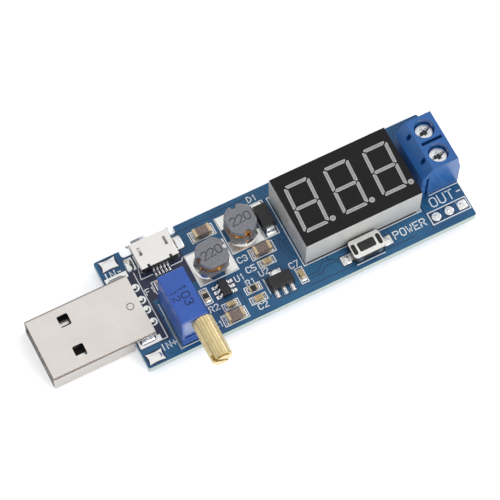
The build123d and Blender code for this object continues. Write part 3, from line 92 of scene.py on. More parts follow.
def noise(tree, coordinates, size_mm, detail=3.0, stretch=(1, 1, 1)):
    """A noise whose blotches are about size_mm across."""
    mapping = tree.nodes.new("ShaderNodeMapping")
    mapping.inputs["Scale"].default_value = [s / (size_mm * MM) for s in stretch]
    texture = tree.nodes.new("ShaderNodeTexNoise")
    texture.inputs["Scale"].default_value = 1.0
    texture.inputs["Detail"].default_value = detail
    tree.links.new(coordinates, mapping.inputs["Vector"])
    tree.links.new(mapping.outputs["Vector"], texture.inputs["Vector"])
    return texture.outputs["Fac"]


def spread(tree, value, low, high, start=0.3, stop=0.7):
    """Maps a noise to a range of numbers."""
    mapped = tree.nodes.new("ShaderNodeMapRange")
    mapped.inputs["From Min"].default_value = start
    mapped.inputs["From Max"].default_value = stop
    mapped.inputs["To Min"].default_value = low
    mapped.inputs["To Max"].default_value = high
    tree.links.new(value, mapped.inputs["Value"])
    return mapped.outputs["Result"]


def blend_colours(tree, factor, first, second):
    """Mixes two colours, or the outputs that carry them, by a factor."""
    mix = tree.nodes.new("ShaderNodeMix")
    mix.data_type = "RGBA"
    tree.links.new(factor, mix.inputs["Factor"])
    for name, colour in (("A", first), ("B", second)):
        socket = [s for s in mix.inputs if s.name == name and s.type == "RGBA"][0]
        if isinstance(colour, bpy.types.NodeSocket):
            tree.links.new(colour, socket)
        else:
            socket.default_value = (*colour, 1)
    return [s for s in mix.outputs if s.type == "RGBA"][0]


def add_bump(tree, principled, height, depth_mm, bevel_mm):
    """Fine relief from a noise, over edges that are softened by a small radius."""
    bump = tree.nodes.new("ShaderNodeBump")
    bump.inputs["Strength"].default_value = 1.0
    bump.inputs["Distance"].default_value = depth_mm * MM
    tree.links.new(height, bump.inputs["Height"])
    if bevel_mm:
        bevel = tree.nodes.new("ShaderNodeBevel")
        bevel.samples = 4
        bevel.inputs["Radius"].default_value = bevel_mm * MM
        tree.links.new(bevel.outputs["Normal"], bump.inputs["Normal"])
    tree.links.new(bump.outputs["Normal"], principled.inputs["Normal"])


def surface(
    name, light, dark, roughness, metallic=0.0, mottle_mm=2.0, grain_mm=0.15, grain_depth_mm=0.002,
    coat=0.0, coat_roughness=0.1, specular=0.5, bevel_mm=0.0, stretch=(1, 1, 1),
):
    """A general procedural finish: mottled colour, uneven roughness, fine grain and soft edges."""
    material, tree, principled, coordinates = shader(name)
    blotches = noise(tree, coordinates, mottle_mm)
    grain = noise(tree, coordinates, grain_mm, 4.0, stretch)
    colour = blend_colours(tree, spread(tree, blotches, 0, 1), dark, light)
    tree.links.new(colour, principled.inputs["Base Color"])
    rough = spread(tree, grain, roughness * 0.85, roughness * 1.15)
    tree.links.new(rough, principled.inputs["Roughness"])
    principled.inputs["Metallic"].default_value = metallic
    principled.inputs["Specular IOR Level"].default_value = specular
    principled.inputs["Coat Weight"].default_value = coat
    principled.inputs["Coat Roughness"].default_value = coat_roughness
    add_bump(tree, principled, grain, grain_depth_mm, bevel_mm)
    return material


def levelness(tree):
    """How level a face lies: 1 for level faces, 0 for upright ones."""
    geometry = tree.nodes.new("ShaderNodeNewGeometry")
    split = tree.nodes.new("ShaderNodeSeparateXYZ")
    tree.links.new(geometry.outputs["Normal"], split.inputs["Vector"])
    level = tree.nodes.new("ShaderNodeMath")
    level.operation = "ABSOLUTE"
    tree.links.new(split.outputs["Z"], level.inputs[0])
    return level.outputs[0]


def colour_ramp(tree, levels):
    """A ramp with a colour at each of several places."""
    ramp = tree.nodes.new("ShaderNodeValToRGB")
    while len(ramp.color_ramp.elements) < len(levels):
        ramp.color_ramp.elements.new(0.5)
    for element, (place, colour) in zip(ramp.color_ramp.elements, levels):
        element.position = place
        element.color = (*colour, 1)
    return ramp


def sheet_metal(name, face, edge_shade, side, roughness):
    """Plated sheet with painted light and shade: bright on level faces, painted dark shade round rolled
    edges and duller painted shade on upright sides.
    """
    material, tree, principled, coordinates = shader(name)
    # Painted shade by facing: level faces take the lit colour, rolled edges a painted dark edge shade,
    # upright sides a duller painted shade
    levels = ((0.0, side), (0.2, side), (0.45, edge_shade), (0.8, edge_shade), (0.97, face), (1.0, face))
    ramp = colour_ramp(tree, levels)
    tree.links.new(levelness(tree), ramp.inputs["Fac"])
    blotches = noise(tree, coordinates, size_mm=4.0, detail=4.0)
    wear = spread(tree, blotches, 0.0, 0.12)
    worn = blend_colours(tree, wear, ramp.outputs["Color"], (0.5, 0.45, 0.4))
    tree.links.new(worn, principled.inputs["Base Color"])
    principled.inputs["Metallic"].default_value = 1.0
    scratches = noise(tree, coordinates, size_mm=0.6, detail=5.0, stretch=(1.0, 0.15, 1.0))
    rough = spread(tree, scratches, roughness * 0.8, roughness * 1.25)
    tree.links.new(rough, principled.inputs["Roughness"])
    add_bump(tree, principled, scratches, depth_mm=0.0003, bevel_mm=0)
    return material


def board_material():
    """Blue solder mask on the two faces and pale glass-fibre laminate on the edges."""
    material, tree, principled, coordinates = shader("board_mask")
    blotches = spread(tree, noise(tree, coordinates, size_mm=9.0), 0, 1)
    mask = blend_colours(tree, blotches, (0.013, 0.078, 0.2), (0.024, 0.135, 0.28))
    weave = noise(tree, coordinates, size_mm=0.5, detail=2.0, stretch=(0.25, 0.25, 3.0))
    laminate = blend_colours(tree, spread(tree, weave, 0, 1), (0.38, 0.49, 0.47), (0.5, 0.58, 0.52))
    face = spread(tree, levelness(tree), 0, 1, start=0.4, stop=0.6)
    colour = blend_colours(tree, face, laminate, mask)
    tree.links.new(colour, principled.inputs["Base Color"])
    grain = noise(tree, coordinates, size_mm=0.35)
    tree.links.new(spread(tree, grain, 0.24, 0.34), principled.inputs["Roughness"])
    principled.inputs["Specular IOR Level"].default_value = 0.4
    ripples = noise(tree, coordinates, size_mm=0.8)
    add_bump(tree, principled, ripples, depth_mm=0.002, bevel_mm=0)
    return material


MATERIALS = {
    "board": board_material(),
    "bare_mask": surface(
        "bare_mask", (0.028, 0.032, 0.085), (0.018, 0.022, 0.06), roughness=0.3, mottle_mm=3.0,
    ),
    "mask_dark": surface(
        "mask_gap", (0.012, 0.05, 0.13), (0.008, 0.036, 0.1), roughness=0.3, mottle_mm=3.0,
        grain_mm=0.3, grain_depth_mm=0.001,
    ),
    "mask_light": surface(
        "mask_light", (0.05, 0.2, 0.4), (0.035, 0.15, 0.32), roughness=0.3, mottle_mm=3.0,
        grain_mm=0.3, grain_depth_mm=0.001,
    ),
    "inductor_ink": surface(
        "inductor_ink", (0.035, 0.035, 0.04), (0.02, 0.02, 0.024), roughness=0.7, mottle_mm=0.4,
        grain_mm=0.08, grain_depth_mm=0.001,
    ),
    "trimmer_ink": surface(
        "trimmer_ink", (0.006, 0.018, 0.12), (0.004, 0.012, 0.08), roughness=0.5, mottle_mm=0.4,
        grain_mm=0.08, grain_depth_mm=0.001,
    ),
    "segment_rim": surface(
        "segment_rim", (0.62, 0.62, 0.62), (0.52, 0.52, 0.52), roughness=0.35, mottle_mm=0.8,
        grain_mm=0.1, grain_depth_mm=0.001,
    ),
    "bright_tin": surface(
        "bright_tin", (0.96, 0.95, 0.93), (0.88, 0.87, 0.85), roughness=0.22, metallic=1.0,
        mottle_mm=1.0, grain_mm=0.3, grain_depth_mm=0.001,
    ),
    "silk": surface(
        "silk_ink", (0.95, 0.96, 0.96), (0.84, 0.86, 0.88), roughness=0.55, mottle_mm=0.5,
        grain_mm=0.08,
    ),
    "tin": surface(
        "tin_plate", (0.97, 0.97, 0.96), (0.92, 0.92, 0.91), roughness=0.28, metallic=1.0,
        mottle_mm=1.5, grain_mm=0.5, grain_depth_mm=0.0015,
    ),
    "solder": surface(
        "solder", (0.97, 0.97, 0.97), (0.9, 0.9, 0.9), roughness=0.2, metallic=1.0, mottle_mm=0.6,
        grain_mm=0.6, grain_depth_mm=0.0012,
    ),
    # The three plated finishes below paint shade by facing: lit level faces, painted dark shade on
    # rolled edges, painted duller shade on upright sides
    "plug_steel": sheet_metal(
        "plug_nickel", face=(0.87, 0.825, 0.785), edge_shade=(0.2, 0.17, 0.15),
        side=(0.58, 0.56, 0.54), roughness=0.3,
    ),
    "socket_steel": sheet_metal(
        "socket_nickel", face=(0.98, 0.96, 0.93), edge_shade=(0.5, 0.48, 0.46), side=(0.6, 0.58, 0.56),
        roughness=0.25,
    ),
    "switch_steel": sheet_metal(
        "switch_sheet", face=(0.98, 0.97, 0.95), edge_shade=(0.5, 0.5, 0.5), side=(0.5, 0.5, 0.5),
        roughness=0.22,
    ),
    "contact_plate": surface(
        "contact_gold", (0.83, 0.66, 0.34), (0.7, 0.54, 0.25), roughness=0.25, metallic=1.0,
        mottle_mm=1.0, grain_mm=0.1, grain_depth_mm=0.001,
    ),
    "black_plastic": surface(
        "black_plastic", (0.014, 0.014, 0.015), (0.008, 0.008, 0.009), roughness=0.42,
        mottle_mm=1.0, grain_mm=0.09, bevel_mm=0.05,
    ),
    "plunger_black": surface(
        "plunger_black", (0.02, 0.02, 0.021), (0.012, 0.012, 0.012), roughness=0.5, mottle_mm=0.8,
        grain_mm=0.07, grain_depth_mm=0.003, bevel_mm=0.08,
    ),
    "trimmer_blue": surface(
        "trimmer_blue", (0.03, 0.115, 0.5), (0.026, 0.1, 0.44), roughness=0.34, mottle_mm=3.0,
        grain_mm=0.12, grain_depth_mm=0.0005, coat=0.4, coat_roughness=0.12, specular=0.35,
        bevel_mm=0.1,
    ),
    "resin": surface(
        "cast_resin", (0.5, 0.5, 0.4), (0.35, 0.35, 0.28), roughness=0.3, mottle_mm=1.0,
        grain_mm=0.3, grain_depth_mm=0.003,
    ),
    "alumina": surface(
        "alumina", (0.8, 0.8, 0.77), (0.7, 0.7, 0.66), roughness=0.5, mottle_mm=0.7, grain_mm=0.06,
    ),
    "steel": surface(
        "plain_steel", (0.6, 0.6, 0.6), (0.45, 0.45, 0.45), roughness=0.3, metallic=1.0,
        mottle_mm=1.0, grain_mm=0.1, grain_depth_mm=0.001, bevel_mm=0.05,
    ),
    "screw_steel": surface(
        "screw_zinc", (0.97, 0.98, 1.0), (0.9, 0.91, 0.93), roughness=0.3, metallic=1.0,
        mottle_mm=0.8, grain_mm=1.2, grain_depth_mm=0.0002,
    ),
    "screw_shadow": surface(
        "screw_shadow", (0.05, 0.045, 0.055), (0.03, 0.028, 0.035), roughness=0.5, mottle_mm=0.4,
        grain_mm=0.08, grain_depth_mm=0.001,
    ),
    "dimple_shadow": surface(
        "dimple_shadow", (0.3, 0.28, 0.26), (0.2, 0.18, 0.17), roughness=0.5, metallic=1.0,
        mottle_mm=0.5, grain_mm=0.1, grain_depth_mm=0.001,
    ),
    # Lighter than the trimmer's own blue: a painted reflection of the bright floor on the glossy front
    # recess
    "recess_blue": surface(
        "recess_blue", (0.13, 0.24, 0.6), (0.09, 0.18, 0.52), roughness=0.25, mottle_mm=1.5,
        grain_mm=0.2, grain_depth_mm=0.001, coat=0.6, coat_roughness=0.12,
    ),
    "rubber": surface(
        "seal_rubber", (0.02, 0.02, 0.02), (0.01, 0.01, 0.01), roughness=0.8, mottle_mm=0.4,
        grain_mm=0.05, grain_depth_mm=0.003,
    ),
    "brass": surface(
        "brass", (0.88, 0.755, 0.47), (0.78, 0.65, 0.37), roughness=0.38, metallic=1.0,
        mottle_mm=0.9, grain_mm=0.3, grain_depth_mm=0.0003, stretch=(1, 0.1, 1),
    ),
    "white_plastic": surface(
        "white_plastic", (0.75, 0.75, 0.72), (0.68, 0.68, 0.66), roughness=0.4, mottle_mm=0.8,
        grain_mm=0.1,
    ),
    "ceramic_brown": surface(
        "ceramic_brown", (0.3, 0.225, 0.195), (0.15, 0.108, 0.095), roughness=0.42, mottle_mm=0.35,
        grain_mm=0.06, grain_depth_mm=0.004, bevel_mm=0.08,
    ),
    "ceramic_beige": surface(
        "ceramic_beige", (0.56, 0.43, 0.23), (0.42, 0.31, 0.16), roughness=0.42, mottle_mm=0.3,
        grain_mm=0.06, grain_depth_mm=0.004, bevel_mm=0.05,
    ),
    "chip_tin": surface(
        "chip_tin", (0.74, 0.6, 0.4), (0.6, 0.47, 0.28), roughness=0.32, metallic=1.0,
        mottle_mm=0.3, grain_mm=0.08, grain_depth_mm=0.006, bevel_mm=0.07,
    ),
    "resistor_black": surface(
        "resistor_black", (0.016, 0.016, 0.017), (0.01, 0.01, 0.01), roughness=0.3, mottle_mm=0.4,
        grain_mm=0.06, bevel_mm=0.04,
    ),
    "fuse_green": surface(
        "fuse_green", (0.05, 0.2, 0.08), (0.03, 0.13, 0.05), roughness=0.35, mottle_mm=0.6,
        grain_mm=0.06, bevel_mm=0.05,
    ),
    "ferrite": surface(
        "ferrite", (0.25, 0.255, 0.285), (0.19, 0.193, 0.215), roughness=0.36, mottle_mm=0.5,
        grain_mm=0.14, grain_depth_mm=0.003, bevel_mm=0.1,
    ),
    "copper": surface(
        "copper_wire", (0.72, 0.36, 0.1), (0.5, 0.2, 0.05), roughness=0.22, metallic=1.0,
        mottle_mm=0.8, grain_mm=0.2,
    ),
    "mould_black": surface(
        "mould_epoxy", (0.022, 0.022, 0.024), (0.014, 0.014, 0.016), roughness=0.45, mottle_mm=0.5,
        grain_mm=0.07, grain_depth_mm=0.005, bevel_mm=0.08,
    ),
    "inner_board": surface(
        "inner_laminate", (0.5, 0.45, 0.2), (0.4, 0.36, 0.16), roughness=0.4, mottle_mm=1.0,
        grain_mm=0.2,
    ),
    "segment_white": surface(
        "segment_resin", (0.36, 0.36, 0.36), (0.3, 0.3, 0.3), roughness=0.35, mottle_mm=0.8,
        grain_mm=0.1,
    ),
    "display_black": surface(
        "display_black", (0.0095, 0.0088, 0.0098), (0.0078, 0.007, 0.008), roughness=0.5,
        grain_mm=0.09, grain_depth_mm=0.0015, specular=0.25, bevel_mm=0.05,
    ),
    "display_grey": surface(
        "display_grey", (0.62, 0.62, 0.6), (0.56, 0.56, 0.545), roughness=0.4, mottle_mm=4.0,
        grain_mm=0.1, grain_depth_mm=0.001, bevel_mm=0.1,
    ),
    "terminal_blue": surface(
        "terminal_blue", (0.014, 0.13, 0.43), (0.01, 0.112, 0.375), roughness=0.32, mottle_mm=3.0,
        grain_mm=0.12, grain_depth_mm=0.0006, coat=0.3, coat_roughness=0.15, bevel_mm=0.12,
    ),
}

OWN_FINISH = {"micro_contacts": "bright_tin", "plug_contacts": "bright_tin"}
for subpart in frame["record"]["subparts"]:
    node = frame["nodes"][subpart["node"]]
    node.data.materials.clear()
    node.data.materials.append(MATERIALS[OWN_FINISH.get(subpart["node"], subpart["material_slot"])])


# ------------------------------------------------------------------ making pieces
def piece(name, shape, material, body="board", smooth=True):
    """Makes a named piece from a bmesh, gives it its finish and lets it ride on a body."""
    bmesh.ops.recalc_face_normals(shape, faces=shape.faces)
    mesh = bpy.data.meshes.new(name)
    shape.to_mesh(mesh)
    shape.free()
    mesh.materials.append(MATERIALS[material])
    made = bpy.data.objects.new(name, mesh)
    bpy.context.scene.collection.objects.link(made)
    if smooth:
        mesh.shade_smooth()
        mesh.set_sharp_from_angle(angle=math.radians(SHARP_EDGE))
    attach(made, body)
    return made


def prism(shape, points, z0, z1):
    """A closed solid with a flat outline, from one height to another."""
    low = [shape.verts.new(at(x, y, z0)) for x, y in points]
    high = [shape.verts.new(at(x, y, z1)) for x, y in points]
    shape.faces.new(high)
    shape.faces.new(list(reversed(low)))
    for n in range(len(points)):
        m = (n + 1) % len(points)
        shape.faces.new((low[n], low[m], high[m], high[n]))


def rectangle(x0, x1, y0, y1):
    """The corners of a rectangle."""
    return [(x0, y0), (x1, y0), (x1, y1), (x0, y1)]


def circle(x, y, radius, steps=24):
    """Points round a circle."""
    turns = [2 * math.pi * n / steps for n in range(steps)]
    return [(x + radius * math.cos(t), y + radius * math.sin(t)) for t in turns]


def ring(shape, outer, inner, z0, z1):
    """A closed solid between two outlines with as many points."""
    loops = [
        [shape.verts.new(at(x, y, z)) for x, y in outline]
        for outline, z in ((outer, z0), (outer, z1), (inner, z1), (inner, z0))
    ]
    for k in range(4):
        first, second = loops[k], loops[(k + 1) % 4]
        for n in range(len(first)):
            m = (n + 1) % len(first)
            shape.faces.new((first[n], first[m], second[m], second[n]))


def ribbon(shape, points, width, z0, z1):
    """A flat line of even width with mitred corners, closed where it ends on its first point."""
    points = [Vector(p) for p in points]
    closed = (points[0] - points[-1]).length < 1e-6
    if closed:
        points = points[:-1]
    count = len(points)
    left, right = [], []
    for n, point in enumerate(points):
        before = points[n - 1] if closed or n else None
        after = points[(n + 1) % count] if closed or n < count - 1 else None
        into = (point - before).normalized() if before is not None else None
        out = (after - point).normalized() if after is not None else None
        into = into if into is not None else out
        out = out if out is not None else into
        along = (into + out).normalized()
        normal = Vector((-along.y, along.x))
        stretch = min(1.6, 1 / max(0.2, normal.dot(Vector((-out.y, out.x)))))
        offset = normal * width / 2 * stretch
        if not closed and n == 0:
            point = point - out * width / 2
        if not closed and n == count - 1:
            point = point + into * width / 2
        left.append(point + offset)
        right.append(point - offset)
    if closed:
        ring(shape, left, right, z0, z1)
    else:
        prism_strip(shape, left, right, z0, z1)


def prism_strip(shape, left, right, z0, z1):
    """A closed solid between two open lines with as many points."""
    corners = [
        [shape.verts.new(at(p.x, p.y, z)) for p in line]
        for line, z in ((left, z0), (left, z1), (right, z1), (right, z0))
    ]
    for k in range(4):
        first, second = corners[k], corners[(k + 1) % 4]
        for n in range(len(first) - 1):
            shape.faces.new((first[n], first[n + 1], second[n + 1], second[n]))
    shape.faces.new([line[0] for line in corners])
    shape.faces.new([line[-1] for line in reversed(corners)])


def tube(shape, points, radius, sides=8):
    """A round wire along a path of points in the frame, with closed ends."""
    loops = []
    side_way = Vector((0, 0, 1))
    for n, point in enumerate(points):
        ahead = points[min(n + 1, len(points) - 1)] - points[max(n - 1, 0)]
        ahead.normalize()
        across = ahead.cross(side_way)
        if across.length < 0.05:
            across = ahead.cross(Vector((1, 0, 0)))
        across.normalize()
        up = across.cross(ahead)
        loop = []
        for k in range(sides):
            turn = 2 * math.pi * k / sides
            spoke = across * math.cos(turn) + up * math.sin(turn)
            loop.append(shape.verts.new(point + spoke * radius))
        loops.append(loop)
    for first, second in zip(loops, loops[1:]):
        for k in range(sides):
            m = (k + 1) % sides
            shape.faces.new((first[k], first[m], second[m], second[k]))
    shape.faces.new(loops[0])
    shape.faces.new(list(reversed(loops[-1])))


FOOT_DEPTH = 0.02       # how far the foot of a fillet sinks into what it stands on
DOME_FOOT = 0.03        # and the foot of a rounded lump


def dome(
    shape, x, y, rx, ry, height, z0=0.0, squareness=2.0, sides=28, rings=7, fullness=0.6, ripple=0.0,
):
    """A rounded lump of solder on an oval or squarish foot."""
    loops = []
    for k in range(rings):
        share = 1 - k / rings
        z = z0 + height * (1 - share ** 2) ** fullness
        loop = []
        for n in range(sides):
            turn = 2 * math.pi * n / sides
            c, s = math.cos(turn), math.sin(turn)
            reach = (abs(c) ** squareness + abs(s) ** squareness) ** (-1 / squareness) * share
            wave = 1 + ripple * math.sin(3 * turn + x) * share
            place = at(x + rx * reach * c, y + ry * reach * s, z0 + (z - z0) * wave)
            loop.append(shape.verts.new(place))
        loops.append(loop)
    base = [shape.verts.new(v.co - Vector((0, 0, DOME_FOOT * MM))) for v in loops[0]]
    loops.insert(0, base)
    for first, second in zip(loops, loops[1:]):
        for n in range(sides):
            m = (n + 1) % sides
            shape.faces.new((first[n], first[m], second[m], second[n]))
    crown = shape.verts.new(at(x, y, z0 + height))
    for n in range(sides):
        shape.faces.new((loops[-1][n], loops[-1][(n + 1) % sides], crown))
    shape.faces.new(list(reversed(base)))


def wedge(shape, x, y, heading, width, reach, height, z0=PAD_TOP, steps=7):
    """A hollow fillet of solder that runs down from a wall; it faces heading, in degrees."""
    way = Vector((math.cos(math.radians(heading)), math.sin(math.radians(heading))))
    across = Vector((-way.y, way.x))
    rows = []
    for n in range(steps + 1):
        share = n / steps
        z = z0 + height * (1 - share) ** 2.2
        half = width / 2 * (0.86 + 0.14 * share)
        middle = Vector((x, y)) + way * reach * share
        rows.append([(middle + across * half * side, z) for side in (-1, -0.6, 0, 0.6, 1)])
    grid = []
    for row in rows:
        line = []
        for m, (p, z) in enumerate(row):
            low = 0.75 if m in (0, len(row) - 1) else 1.0
            line.append(shape.verts.new(at(p.x, p.y, z0 + (z - z0) * low)))
        grid.append(line)
    for first, second in zip(grid, grid[1:]):
        for m in range(len(first) - 1):
            shape.faces.new((first[m], first[m + 1], second[m + 1], second[m]))
    outline = [line[0] for line in grid] + grid[-1][1:-1] + [line[-1] for line in reversed(grid)]
    outline += list(reversed(grid[0][1:-1]))
    feet = []
    for vertex in outline:
        foot = vertex.co.copy()
        foot.z = at(0, 0, z0 - FOOT_DEPTH).z
        feet.append(shape.verts.new(foot))
    for n in range(len(outline)):
        m = (n + 1) % len(outline)
        shape.faces.new((outline[n], outline[m], feet[m], feet[n]))
    shape.faces.new(feet)


def arc_fillet(shape, x, y, radius, middle, half, reach, height, steps=28, rows=6):
    """A hollow fillet of solder round part of an upright cylinder; angles are in degrees."""
    columns = []
    for k in range(steps + 1):
        angle = math.radians(middle + half * (2 * k / steps - 1))
        fade = 0.3 + 0.7 * math.sin(math.pi * k / steps) ** 0.5
        far = reach * fade * (1 + 0.08 * math.sin(7 * angle))
        shares = [n / rows for n in range(rows + 1)]
        profile = [(radius + far * share, height * fade * (1 - share) ** 2.2) for share in shares]
        profile += [(radius + far, -FOOT_DEPTH), (radius, -FOOT_DEPTH)]
        c, s = math.cos(angle), math.sin(angle)
        places = [at(x + r * c, y + r * s, PAD_TOP + z) for r, z in profile]
        columns.append([shape.verts.new(place) for place in places])
    for first, second in zip(columns, columns[1:]):
        for n in range(len(first)):
            m = (n + 1) % len(first)
            shape.faces.new((first[n], first[m], second[m], second[n]))
    shape.faces.new(columns[0])
    shape.faces.new(list(reversed(columns[-1])))


def upright_prism(shape, points, y0, y1):
    """A closed solid with an upright outline of X and Z places, from one Y place to another."""
    near = [shape.verts.new(at(x, y0, z)) for x, z in points]
    far = [shape.verts.new(at(x, y1, z)) for x, z in points]
    shape.faces.new(near)
    shape.faces.new(list(reversed(far)))
    for n in range(len(points)):
        m = (n + 1) % len(points)
        shape.faces.new((near[m], near[n], far[n], far[m]))


def sprung_cap(shape, x, y, radius, z0, z1, thickness, sides=32, rings=6):
    """A shallow round cap of thin sheet, open below."""
    crowns = []
    loops = []
    for reach, rise in ((radius, z1 - z0), (radius - thickness, z1 - thickness - z0)):
        crowns.append(shape.verts.new(at(x, y, z0 + rise)))
        skin = []
        for k in range(1, rings + 1):
            share = k / rings
            points = circle(x, y, reach * share, sides)
            z = z0 + rise * (1 - share ** 2)
            skin.append([shape.verts.new(at(px, py, z)) for px, py in points])
        loops.append(skin)
    path = loops[0] + list(reversed(loops[1]))
    for first, second in zip(path, path[1:]):
        for n in range(sides):
            m = (n + 1) % sides
            shape.faces.new((first[n], first[m], second[m], second[n]))
    for crown, skin in zip(crowns, loops):
        for n in range(sides):
            shape.faces.new((skin[0][n], skin[0][(n + 1) % sides], crown))


def turned(points, x, y, degrees):
    """Points moved from round zero to round a place, and turned."""
    c, s = math.cos(math.radians(degrees)), math.sin(math.radians(degrees))
    return [(x + u * c - v * s, y + u * s + v * c) for u, v in points]


def islands(node):
    """A CAD node's separate solids: the lowest and highest corner of each, in board coordinates."""
    mesh = frame["nodes"][node].data
    origin = Vector((board_low.x, board_low.y, board_high.z))
    keys = [tuple(round(c, 3) for c in (v.co - origin) / MM) for v in mesh.vertices]
    leader = {key: key for key in keys}

    def root(key):
        while leader[key] != key:
            leader[key] = leader[leader[key]]
            key = leader[key]
        return key

    for polygon in mesh.polygons:
        first = keys[polygon.vertices[0]]
        for vertex in polygon.vertices[1:]:
            leader[root(keys[vertex])] = root(first)
    groups = {}
    for key in leader:
        groups.setdefault(root(key), []).append(key)
    boxes = []
    for points in groups.values():
        low = Vector([min(p[k] for p in points) for k in range(3)])
        high = Vector([max(p[k] for p in points) for k in range(3)])
        boxes.append((low, high))
    return sorted(boxes, key=lambda b: tuple(b[0]))


# ------------------------------------------------------------------ where the parts stand
def chips(bodies, ends):
    """The chips on the upper face: the middle, half length, half width and long axis of each."""
    found = []
    caps = [box for box in islands(ends) if box[0].z > 0]
    for low, high in islands(bodies):
        if low.z < 0:
            continue
        axis = 0 if high.x - low.x > high.y - low.y else 1
        middle = (low + high) / 2
        reach = high[axis] - low[axis]
        mine = [c for c in caps if ((c[0] + c[1]) / 2 - middle).xy.length < reach]
        half_length = max(c[1][axis] for c in mine) - middle[axis]
        half_width = mine[0][1][1 - axis] - middle[1 - axis]
        found.append((middle, half_length, half_width, axis))
    return found


large_chips = chips("large_capacitor_bodies", "large_capacitor_ends")
small_chips = chips("small_capacitor_bodies", "small_capacitor_ends")
resistors = chips("resistor_bodies", "resistor_ends")
fuses = chips("fuse_body", "fuse_ends")
INDUCTOR_TURNS = (5.0, 92.0)        # degrees, from the board's X axis to an inductor's solder
inductors = []
for number, turn in enumerate(INDUCTOR_TURNS, start=1):
    low, high = extent(f"inductor_{number}_core")
    inductors.append((number, (low + high) / 2, high.z, turn))
display_low, display_high = extent("display_shell")
trimmer_low, trimmer_high = extent("trimmer_housing")
socket_low, socket_high = extent("micro_shell")
plug_low, plug_high = extent("plug_shell")
switch_low, switch_high = extent("switch_cover")
diode_low, diode_high = extent("diode_leads")
regulator_low = extent("regulator_body")[0]
converter_low = extent("converter_body")[0]
HEADER_SETBACK = 1.44               # from the terminal end of the board to the first pad
HEADER_PITCH = 2.54
HEADER_Y = 2.78
HEADER_XS = [BOARD_LENGTH - HEADER_SETBACK - HEADER_PITCH * n for n in range(3)]
TAIL_X = 4.5                        # the tails of the plug's contacts
TAIL_YS = [BOARD_WIDTH / 2 + offset for offset in (-3.5, -1.0, 1.0, 3.5)]

# ------------------------------------------------------------------ solder
CHIP_FILLET = 0.42                  # how far solder runs out from a chip's end
CLIMBS = ((large_chips, 0.75), (small_chips, 0.5), (resistors, 0.35), (fuses, 0.5))
CONVERTER_FOOT = 0.3                # from the tip of a lead to the middle of its solder
REGULATOR_FOOT = 0.1
REGULATOR_TAB = 0.45
SWITCH_FOOT = 0.75
SIDE_PAD_OFFSET = 0.75              # from the socket's side to the middle of a side pad
SIDE_PAD_SETBACK = 2.75             # from the socket's front to the middle of a side pad
CONTACT_PITCH = 0.65
CONTACT_SETBACK = 0.65
INDUCTOR_RADIUS = 2.84
PLUG_SLOT_X = 2.2
NEAR_SIDE = 270                     # headings, in degrees
FAR_SIDE = 90

solder = bmesh.new()
for group, climb in CLIMBS:
    for middle, half_length, half_width, axis in group:
        for side in (-1, 1):
            x = middle.x + (side * half_length if axis == 0 else 0)
            y = middle.y + (side * half_length if axis == 1 else 0)
            heading = (0 if side > 0 else 180) if axis == 0 else 90 * side
            wedge(solder, x, y, heading, 2 * half_width, CHIP_FILLET, climb)
for low, high in islands("converter_leads"):
    x = low.x + CONVERTER_FOOT if low.x < converter_low.x else high.x - CONVERTER_FOOT
    y = (low.y + high.y) / 2
    dome(solder, x, y, rx=0.46, ry=0.29, height=0.32, z0=PAD_TOP, squareness=2.6, ripple=0.12)
for low, high in islands("regulator_leads"):
    x = (low.x + high.x) / 2
    if high.x - low.x < 1:
        y = low.y + REGULATOR_FOOT
        dome(solder, x, y, rx=0.38, ry=0.6, height=0.44, z0=PAD_TOP, squareness=2.6, ripple=0.1)
    else:
        y = high.y - REGULATOR_TAB
        dome(solder, x, y, rx=1.0, ry=0.72, height=0.46, z0=PAD_TOP, squareness=2.2)
diode_x = (diode_low.x + diode_high.x) / 2
for y, heading in ((diode_low.y, NEAR_SIDE), (diode_high.y, FAR_SIDE)):
    wedge(solder, diode_x, y, heading, width=1.6, reach=0.5, height=0.8)
for low, high in islands("switch_terminals"):
    x = low.x + SWITCH_FOOT if low.x < switch_low.x else high.x - SWITCH_FOOT
    y = (low.y + high.y) / 2
    dome(solder, x, y, rx=0.8, ry=0.8, height=0.3, z0=PAD_TOP, squareness=3.0, ripple=0.15)
for n, x in enumerate(HEADER_XS):
    foot = 9.0 if n == 0 else 2.0
    dome(solder, x, HEADER_Y, rx=0.84, ry=0.84, height=0.16, z0=PAD_TOP, squareness=foot, fullness=0.9)
    dome(solder, x - 0.15, HEADER_Y + 0.1, rx=0.3, ry=0.3, height=0.27, z0=PAD_TOP, ripple=0.2)
left_x = socket_low.x - SIDE_PAD_OFFSET
right_x = socket_high.x + SIDE_PAD_OFFSET
pad_y = socket_high.y - SIDE_PAD_SETBACK
dome(solder, left_x, pad_y, rx=0.76, ry=1.28, height=0.45, z0=PAD_TOP, squareness=3.0, ripple=0.45)
dome(solder, right_x, pad_y, rx=0.72, ry=1.25, height=0.16, z0=PAD_TOP, squareness=5.0, ripple=0.08)
socket_x = (socket_low.x + socket_high.x) / 2
contact_y = socket_low.y - CONTACT_SETBACK
for n in (-2, -1, 0, 1, 2):
    x = socket_x + CONTACT_PITCH * n
    dome(
        solder, x, contact_y, rx=0.19, ry=0.62, height=0.26, z0=PAD_TOP,
        squareness=3.0, sides=16, rings=5,
    )
for number, middle, top, turn in inductors:
    for end in (0, 180):
        arc_fillet(
            solder, middle.x, middle.y, INDUCTOR_RADIUS, turn + end, half=54, reach=0.6, height=0.4,
        )
CORNER_REACH = 1.0                  # the input pads start this near the board's corners
input_pads = [
    box for box in islands("solder_pads")
    if box[0].x < CORNER_REACH
    and (box[0].y < CORNER_REACH or box[1].y > BOARD_WIDTH - CORNER_REACH)
]
for low, high in input_pads:
    middle = (low + high) / 2
    dome(
        solder, middle.x, middle.y, rx=1.15, ry=0.7, height=0.1, z0=PAD_TOP,
        squareness=3.0, ripple=0.2,
    )
